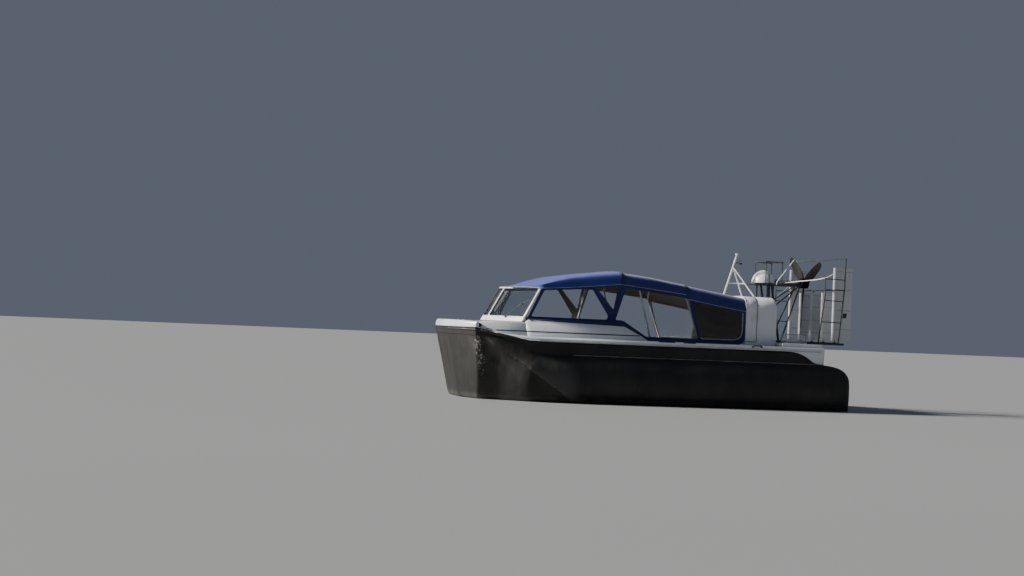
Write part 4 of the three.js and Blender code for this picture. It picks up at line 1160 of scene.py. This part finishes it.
power = {"seam": -1.8077, "half": 1.150, "top": 1.940, "radius": 0.230, "foot": 1.0905, "line": 0.005,
         "edge": -1.6025, "lamp": (-1.896, 0.0, 2.560), "armFrom": (-1.790, -0.030, 2.560),
         "pod": (-2.346, 0.0, 2.209), "podSize": (0.210, 0.222, 0.240), "strap": 0.022,
         "tray": (0.40, 0.47, 0.006), "trayZ": 2.2035, "beltX": -2.506, "beltTop": (0.097, 2.203),
         "pulley": (0.062, 1.236), "bedZ": 1.158, "shaftZ": 2.250, "collars": (-2.600, -2.800, -3.010),
         "beltHalf": 0.016, "belt": 0.006, "pulleyHalf": 0.024, "bed": (0.16, 0.20, 0.016),
         "cheek": (0.012, 0.09, 0.090), "cheekGap": 0.042, "cheekZ": 1.200, "band": 0.003, "rimRod": 0.009,
         # half length and radius; the bolt's place across, foot, head and radius
         "pin": (0.052, 0.016), "collar": (0.022, 0.046), "bolt": (0.045, 2.204, 2.222, 0.008)}


def coverArch(grow, foot):
    half, top, radius = power["half"] + grow, power["top"] + grow, power["radius"]
    right = [(half, foot), (half, top - radius - 0.02)]
    for k in range(1, 11):
        a = math.pi / 20 * k
        right.append((half - radius + radius * math.cos(a), top - radius + radius * math.sin(a)))
    return evenPairs(right + [(-y, z) for y, z in right[::-1]], 0.06)


def domePoint(across, height, grow=1.0):
    # a point of the pod's skin, from its place on a unit dome
    x, y, z = power["pod"]
    long, wide, tall = power["podSize"]
    return at(x + across[0] * long * grow, y + across[1] * wide * grow, z + height * tall * grow)


def makeCoverSeams():
    foot = power["foot"] + 0.060
    seams = [tube([at(power["seam"], y, z) for y, z in coverArch(0.0005, foot)], power["line"], sides=2)]
    for side in (1, -1):
        run = [at(x, side * 1.1502, foot) for x in (-1.604, -1.70, power["seam"])]
        seams.append(tube(run, power["line"], sides=2))
    settle(seams, "cover_seam", "blackSeal", smooth=40)
    edge = tube([at(power["edge"], y, z) for y, z in coverArch(0.001, power["foot"] + 0.03)], 0.006, sides=2)
    settle(edge, "bulkhead_edge", "whitePiping", smooth=60)


def makeMastLamp():
    lamp = Vector(at(*power["lamp"]))

    def disc(low, high, radius, edge=0.003):
        return drum(lamp + upBy(low), lamp + upBy(high), radius, edge)

    arm = tube([at(*power["armFrom"]), lamp + Vector((0.0, -0.004, 0))], 0.007, sides=2)
    arm = [arm, disc(-0.030, 0.004, 0.026), disc(0.030, 0.040, 0.022)]
    settle(arm, "mast_lamp", "blackPlastic")
    settle(disc(0.002, 0.032, 0.020, 0.002), "mast_lamp_lens", "lampLens")


def makePod():
    deselect()
    bpy.ops.mesh.primitive_uv_sphere_add(segments=48, ring_count=32, radius=1, location=(0, 0, 0))
    dome = bpy.context.object
    bpy.ops.object.mode_set(mode="EDIT")
    bpy.ops.mesh.select_all(action="SELECT")
    bpy.ops.mesh.bisect(plane_co=(0, 0, 0.001), plane_no=(0, 0, 1), clear_inner=True, use_fill=True)
    bpy.ops.object.mode_set(mode="OBJECT")
    dome.scale = power["podSize"]
    dome.location = at(*power["pod"])
    bpy.ops.object.transform_apply(location=True, rotation=True, scale=True)
    settle(mergeDoubles(dome), "pod_dome", "whiteGelcoat", smooth=45, stands=("pod",))
    straps = []
    for direction in ((1, 0.25), (-0.2, 1)):          # two flat straps over the dome
        run = Vector((*direction, 0)).normalized()
        beside = Vector((-run.y, run.x, 0))
        rows = []
        for w in (-1, -0.4, 0.4, 1):
            row = []
            for k in range(41):
                flat = run * math.cos(math.pi * k / 40) * 0.997 + beside * (w * power["strap"] / 0.21)
                height = math.sqrt(max(0, 1.0 - flat.x ** 2 - flat.y ** 2))
                row.append(domePoint((flat.x, flat.y), height, 1.010))
            rows.append(row)
        straps.append(addThickness(skinRows(rows), power["band"], 1))
    turns = [math.tau * k / 56 for k in range(56)]
    ring = [domePoint((math.cos(a), math.sin(a)), 0.035, 1.004) for a in turns]
    straps.append(tube(ring, power["rimRod"], True, 3))
    settle(straps, "pod_straps", "greyTube", smooth=50)
    tray = plate(at(power["pod"][0], 0, power["trayZ"]), power["tray"], 0.002)
    settle(tray, "pod_tray", "blackPaint")


def roller(x, half, z, radius, edge=0.003, sides=28):
    # a drum on the middle line that lies along the craft
    return drum(at(x - half, 0, z), at(x + half, 0, z), radius, edge, sides)


def makeBelt():
    x, (topHalf, topZ), (radius, lowZ) = power["beltX"], power["beltTop"], power["pulley"]
    belts = []
    for side in (1, -1):
        rows = [[at(x + w, side * (radius + (topHalf - radius) * t), lowZ + (topZ - lowZ) * t)
                 for t in (0, 0.33, 0.66, 1)] for w in (-power["beltHalf"], power["beltHalf"])]
        belts.append(addThickness(skinRows(rows), power["belt"], 0))
    belts.append(roller(x, power["pulleyHalf"], lowZ, radius, 0.004, 36))
    settle(belts, "drive_belt", "blackSeal")
    mounts = [plate(at(x, 0, power["bedZ"]), power["bed"], 0.003)]
    for gap in (-power["cheekGap"], power["cheekGap"]):
        mounts.append(plate(at(x + gap, 0, power["cheekZ"]), power["cheek"], 0.003))
    half, radius = power["pin"]
    mounts.append(roller(x, half, lowZ, radius))
    settle(mounts, "belt_mount", "steel")
    half, radius = power["collar"]
    collars = [roller(x, half, power["shaftZ"], radius, 0.004) for x in power["collars"]]
    across, low, high, radius = power["bolt"]
    for x in power["collars"][::2]:
        for y in (-across, across):
            collars.append(drum(at(x, y, low), at(x, y, high), radius, 0.001, 6))
    settle(collars, "bearing_collars", "castIron")


makeCoverSeams()
makeMastLamp()
makePod()
makeBelt()

aloft = {"pole": ((-2.495, 0.272, 2.190), (-2.505, 0.285, 2.250), (-2.815, 0.285, 2.655)),
         "spar": ((-2.674, 0.262, 2.235), (-2.800, 0.560, 2.262), (-2.940, 0.930, 2.290),
                  (-3.020, 1.110, 2.315), (-3.095, 1.150, 2.340), (-3.210, 1.150, 2.405)),
         "brace": ((-2.632, -0.262, 1.877), (-2.900, -0.620, 2.010), (-3.425, -1.145, 2.290)),
         "panel": (-2.330, -2.790, 1.170, 1.310, 1.000), "wire": 0.004, "cageBox": (-3.433, 1.160, 1.675),
         "rod": 0.0085, "braceRod": 0.009, "frameRod": 0.007, "mesh": (34, 10),
         "stud": (1.1500, 1.1690, 0.008),
         "feet": ((-2.330, 0.260, 1.159, ((0, 0.017), (0, -0.017))),
                  (-2.600, 0.260, 1.161, ((-0.032, 0), (0.032, 0), (0, 0.032), (0, -0.032))))}


def makeDeckMesh():
    front, rear, low, high, half = aloft["panel"]
    panels, frames = [], []
    for side in (1, -1):
        deselect()
        long, tall = aloft["mesh"]
        bpy.ops.mesh.primitive_grid_add(x_subdivisions=long, y_subdivisions=tall, size=1)
        panel = bpy.context.object
        for vertex in panel.data.vertices:
            across, up = vertex.co.x + 0.5, vertex.co.y + 0.5
            vertex.co = at(rear + (front - rear) * across, side * half, low + (high - low) * up)
        wires = panel.modifiers.new("wires", "WIREFRAME")
        wires.thickness = aloft["wire"]
        panels.append(bakeModifiers(panel))
        corners = ((front, low - 0.004), (rear, low - 0.004), (rear, high), (front, high))
        rim = roundCorners([at(x, side * half, z) for x, z in corners], 0.02, 3)
        frames.append(tube(rim, aloft["frameRod"], True, 2))
        foot, head, radius = aloft["stud"]
        for x in (front - 0.05, (front + rear) / 2, rear + 0.05):
            frames.append(drum(at(x, side * half, foot), at(x, side * half, head), radius, 0.001, 12))
    settle(panels, "deck_mesh", "whitePaint", smooth=0)
    settle(frames, "deck_mesh_frame", "greyTube", smooth=60)


def makeAloft():
    pole, spar, brace = ([at(*p) for p in aloft[name]] for name in ("pole", "spar", "brace"))
    settle(tube(pole, aloft["rod"], sides=3), "whip_pole", "whitePaint", smooth=60)
    spar = tube(spline(spar, 40), aloft["rod"], sides=3)
    settle(spar, "side_spar", "whitePaint", smooth=60)
    settle(tube(brace, aloft["braceRod"], sides=3), "cage_brace", "greyTube", smooth=60)
    makeDeckMesh()
    place = at(*aloft["cageBox"])
    case = [plate(place, (0.075, 0.050, 0.085), 0.006),
            plate(place + Vector((-0.044, 0, 0.02)), (0.014, 0.024, 0.03), 0.003)]
    settle(case, "cage_box", "blackPlastic")
    bolts = []
    for x, y, z, spread in aloft["feet"]:
        for side in (1, -1):
            for dx, dy in spread:
                foot, up = at(x + dx, side * y + dy, z), upBy(0.004)
                bolts.append(drum(foot - up, foot + up * 2, 0.007, 0.001, 6))
    settle(bolts, "tower_bolts", "steel", smooth=20)


makeAloft()
print("tower gear made")

prop = {"x": -3.140, "z": 2.250, "first": 25, "hub": 0.095, "hubHalf": 0.070, "cap": 0.055, "boltRing": 0.074,
        # distance from the shaft, chord, thickness, pitch in degrees
        "stations": [(0.060, 0.088, 0.036, 44), (0.130, 0.120, 0.030, 39), (0.220, 0.150, 0.026, 34),
                     (0.340, 0.164, 0.021, 28), (0.450, 0.165, 0.018, 24), (0.580, 0.155, 0.015, 20),
                     (0.700, 0.138, 0.012, 17), (0.780, 0.108, 0.009, 14), (0.808, 0.078, 0.007, 12),
                     (0.819, 0.030, 0.004, 12)],
        "outline": [(-0.5, 0), (-0.44, 0.24), (-0.3, 0.44), (-0.12, 0.52), (0.1, 0.46), (0.3, 0.26),
                    (0.5, 0.03), (0.3, -0.10), (0.1, -0.2), (-0.12, -0.24), (-0.3, -0.24), (-0.44, -0.16)]}


def makeBlade(angle):
    rings = []
    for r, chord, thick, pitch in prop["stations"]:
        p = math.radians(pitch)
        ring = []
        for c, t in prop["outline"]:
            along = c * chord * math.cos(p) - t * thick * math.sin(p)
            across = c * chord * math.sin(p) + t * thick * math.cos(p)
            ring.append(at(prop["x"] + across, r * math.cos(angle) - along * math.sin(angle),
                           prop["z"] + r * math.sin(angle) + along * math.cos(angle)))
        rings.append(ring)
    return inflate(skinRows(rings, closed=True, caps=True), 2)


def makePropeller():
    x, z, half = prop["x"], prop["z"], prop["hubHalf"]
    fan = [makeBlade(math.radians(prop["first"] + 120 * i)) for i in range(3)]
    fan.append(roller(x, half, z, prop["hub"], 0.010, 48))
    fan.append(drum(at(x - half - 0.012, 0, z), at(x - half + 0.004, 0, z), prop["cap"], 0.005, 32))
    settle(fan, "propeller_fan", "bladePaint", body="propeller", smooth=45,
           stands=("propeller",))
    bolts = []
    for k in range(6):
        a = math.tau * k / 6
        place = at(x - half, prop["boltRing"] * math.cos(a), z + prop["boltRing"] * math.sin(a))
        bolts.append(drum(place + Vector((0.004, 0, 0)), place - Vector((0.010, 0, 0)), 0.008, 0.001, 6))
    settle(bolts, "propeller_bolts", "steel", body="propeller", smooth=20)


makePropeller()
print("propeller made")

rudders = {"lead": -3.275, "foot": 1.225, "tall": 2.520, "short": 2.080,
           "spread": (1.0, 0.5, 0.0, -0.5, -1.0), "ribs": (0.16, 0.42, 0.70, 0.95),
           "rib": (0.045, 0.070, 0.135, 0.200, 0.280, 0.356),
           "rivets": (0.075, 0.150, 0.225, 0.300), "pivot": -3.345, "ribHalf": 0.006, "ribProud": 0.0009,
           "ribSheet": 0.0014, "rivet": (0.0032, 0.0045), "highlightProud": 0.0012, "highlightSheet": 0.0016,
           # distance behind the leading edge and half thickness there
           "shape": [(0, 0), (0.012, 0.014), (0.070, 0.022), (0.200, 0.015), (0.365, 0.002)],
           # section of the white strip on each leading edge, a painted highlight
           "noseHighlight": [(0.040, 1), (0.012, 1), (0.003, 0.5), (0.0, 0), (0.003, -0.5), (0.012, -1), (0.040, -1)]}


def rudderHalf(back):
    marks = rudders["shape"]
    for (a, ya), (b, yb) in zip(marks, marks[1:]):
        if back <= b:
            return ya + (yb - ya) * (back - a) / (b - a)
    return marks[-1][1]


def makeRibs(y, foot, top):
    trims = []
    for share in rudders["ribs"]:
        z = foot + (top - foot) * share
        for side in (1, -1):
            rows = [[at(rudders["lead"] - b, y + side * (rudderHalf(b) + rudders["ribProud"]), z + w)
                     for b in rudders["rib"]] for w in (-rudders["ribHalf"], rudders["ribHalf"])]
            trims.append(addThickness(skinRows(rows), rudders["ribSheet"], 0))
            for b in rudders["rivets"]:
                p = at(rudders["lead"] - b, y + side * rudderHalf(b), z)
                head, radius = rudders["rivet"]
                trims.append(drum(p, p + Vector((0, side * head, 0)), radius, 0.0008, 8))
    return trims


def makeRudders():
    foot = rudders["foot"]
    for i, y in enumerate(rudders["spread"], 1):
        body = f"rudder_{i}"
        dressNode(body, "rudderPaint", body=body, edge=0)
        top = rudders["tall"] if i in (1, 5) else rudders["short"]
        # a white strip down the leading edge is a painted highlight where light catches it
        rows = []
        for z in (foot + 0.004, top - 0.004):
            rows.append([at(rudders["lead"] - b + (0.0016 if b < 0.004 else 0),
                            y + s * (rudderHalf(b) + rudders["highlightProud"]), z) for b, s in rudders["noseHighlight"]])
        noseHighlight = addThickness(skinRows(rows), rudders["highlightSheet"], 0)
        settle(noseHighlight, f"rudder_nose_{i}", "whitePaint", body=body, smooth=60)
        trims = makeRibs(y, foot, top)
        trims.append(plate(at(rudders["pivot"], y + 0.045, foot + 0.028), (0.030, 0.070, 0.008), 0.002))
        settle(trims, f"rudder_ribs_{i}", "greyTube", body=body, smooth=30)


makeRudders()
print("rudders made")

seats = {"cushion": (0.455, 0.500, 0.110), "back": (0.095, 0.500, 0.520), "tilt": -11.7, "voxel": 0.010,
         "cap": 0.014, "pressure": 4.0, "steps": 20, "crown": 0.006, "seam": (0.009, 0.010),
         "sewn": ((-0.08, 0.08), (-0.10, 0.08)), "benchPads": (-0.6, 0, 0.6),
         # x, y, half width, top of the back
         "helm": (1.150, 0.420, 0.26, 1.40), "mate": (1.150, -0.420, 0.26, 1.40),
         "middle": (0.050, 0.0, 0.90, 1.08), "rear": (-1.050, 0.0, 0.90, 1.40)}


def puff(obj):
    # blown up a little by cloth pressure, each point moving no further than cap
    solo(obj)
    remesh = obj.modifiers.new("skin", "REMESH")
    remesh.mode, remesh.voxel_size = "VOXEL", seats["voxel"]
    bakeModifiers(obj)
    rest = [v.co.copy() for v in obj.data.vertices]
    cloth = obj.modifiers.new("air", "CLOTH")
    cloth.settings.use_pressure = True
    cloth.settings.uniform_pressure_force = seats["pressure"]
    cloth.settings.effector_weights.gravity = 0
    for step in range(1, seats["steps"] + 1):
        bpy.context.scene.frame_set(step)
    bakeModifiers(obj)
    bpy.context.scene.frame_set(1)
    flat = []
    for vertex, start in zip(obj.data.vertices, rest):
        move = vertex.co - start
        flat += (start + move * min(1, seats["cap"] / max(move.length, 1e-9)))[:]
    obj.data.vertices.foreach_set("co", flat)
    return obj


def makeCushion(size, channels):
    # at the origin, thickest along its last or first side; channels are sewn lines across Y
    obj = plate((0, 0, 0), [s - 0.018 for s in size], 0.022)
    puff(obj)
    thin, length = (0, 2) if size[0] < size[2] else (2, 0)
    flat = []
    for vertex in obj.data.vertices:
        p = vertex.co.copy()
        face = smoothStep(0.2, 0.9, abs(p[thin]) / (size[thin] / 2))
        crown = 1 - min(1, abs(p[length]) / size[length] * 2) ** 2
        crown *= 1 - min(1, abs(p.y) / size[1] * 2) ** 2
        depth, width = seats["seam"]
        dip = sum(bell(p[length] - c, width) for c in channels)
        p[thin] += math.copysign(1, p[thin]) * face * (seats["crown"] * crown - depth * min(1, dip))
        flat += p[:]
    obj.data.vertices.foreach_set("co", flat)
    return obj


def placed(source, place, tilt=0, stretch=1.0, tall=1.0):
    obj = bpy.data.objects.new(source.name + "_copy", source.data.copy())
    bpy.context.scene.collection.objects.link(obj)
    turn = Matrix.Rotation(math.radians(tilt), 4, "Y") @ Matrix.Diagonal((1, stretch, tall, 1))
    obj.matrix_world = Matrix.Translation(place) @ turn
    solo(obj)
    bpy.ops.object.transform_apply(location=True, rotation=True, scale=True)
    return obj


def seatFrame(x, y, half, tall):
    # a plinth, a shelf under the cushion, a panel behind the back and a web that joins them
    tilt = seats["tilt"]
    return [plate(at(x - 0.006, y, 0.6265), (0.440, 2 * half - 0.06, 0.310), 0.012),
            plate(at(x + 0.003, y, 0.778), (0.480, 2 * half - 0.02, 0.020), 0.006),
            plate(at(x - 0.301 - 0.051 * tall, y, 0.870 + 0.250 * tall),
                  (0.016, 2 * half - 0.03, 0.500 * tall), 0.006, (0, tilt, 0)),
            plate(at(x - 0.262, y, 0.700), (0.030, 2 * half - 0.08, 0.400), 0.006, (0, tilt * 0.5, 0))]


def makeSeats():
    seat, back = (makeCushion(seats[part], lines) for part, lines in zip(("cushion", "back"), seats["sewn"]))
    for word in ("helm", "mate", "middle", "rear"):
        x, y, half, top = seats[word]
        single = half < 0.5
        tall = (top - 0.872) / 0.528                  # share of a full back's height
        centres = [y] if single else seats["benchPads"]
        stretch = 1.0 if single else (2 * half - 0.010) / len(centres) / seats["cushion"][1]
        node = ("seat_" if single else "bench_") + word
        frames = seatFrame(x, y, half, tall)
        settle(frames, node + "_frame", "blackPlastic", stands=(node,))
        parts = [placed(seat, at(x + 0.030, c, 0.842), 0, stretch) for c in centres]
        base = settle(parts, node + "_cushion", "seatVinyl", smooth=70)
        behind, height = x - 0.239 - 0.051 * tall, 0.868 + 0.260 * tall
        parts = [placed(back, at(behind, c, height), seats["tilt"], stretch, tall) for c in centres]
        rest = settle(parts, node + "_back", "seatVinyl", smooth=70)
    deselect()
    for source in (seat, back):
        bpy.data.objects.remove(source)


makeSeats()

cabin = {"gauges": ((0.300, 0.045), (0.420, 0.052), (0.540, 0.045)),
         "switches": (0.10, 0.05, 0, -0.05, -0.10), "face": ((1.960, 1.290), (1.900, 1.180)),
         "mat": (2.040, -1.550, 0.985, 0.472), "matCells": (60, 20)}


def makeCabin():
    (xa, za), (xb, zb) = cabin["face"]
    out = Vector((-(za - zb), 0, (xa - xb))).normalized()
    centre = at((xa + xb) / 2, 0, (za + zb) / 2)
    rims, glasses = [], []
    for y, radius in cabin["gauges"]:
        p = centre + Vector((0, y, 0))
        rims.append(drum(p - out * 0.002, p + out * 0.012, radius, 0.004))
        glasses.append(drum(p + out * 0.006, p + out * 0.0135, radius - 0.009, 0.001))
    for y in cabin["switches"]:
        p = centre + Vector((0, y, 0))
        rims.append(plate(p + out * 0.006, (0.012, 0.022, 0.030), 0.003, (0, 29, 0)))
    settle(rims, "dash_gauges", "blackPlastic")
    settle(glasses, "gauge_glasses", "darkVinyl")
    front, rear, half, z = cabin["mat"]
    long, wide = cabin["matCells"]
    rows = []
    for k in range(long + 1):
        x, lift = front + (rear - front) * k / long, 0.0015 + 0.0006 * math.sin(k * 1.9)
        rows.append([at(x, half * (2 * j / wide - 1), z + lift) for j in range(wide + 1)])
    mat = addThickness(skinRows(rows), 0.004, 1)
    settle(mat, "cabin_mat", "deckMat", smooth=60)


makeCabin()
print("cabin made")
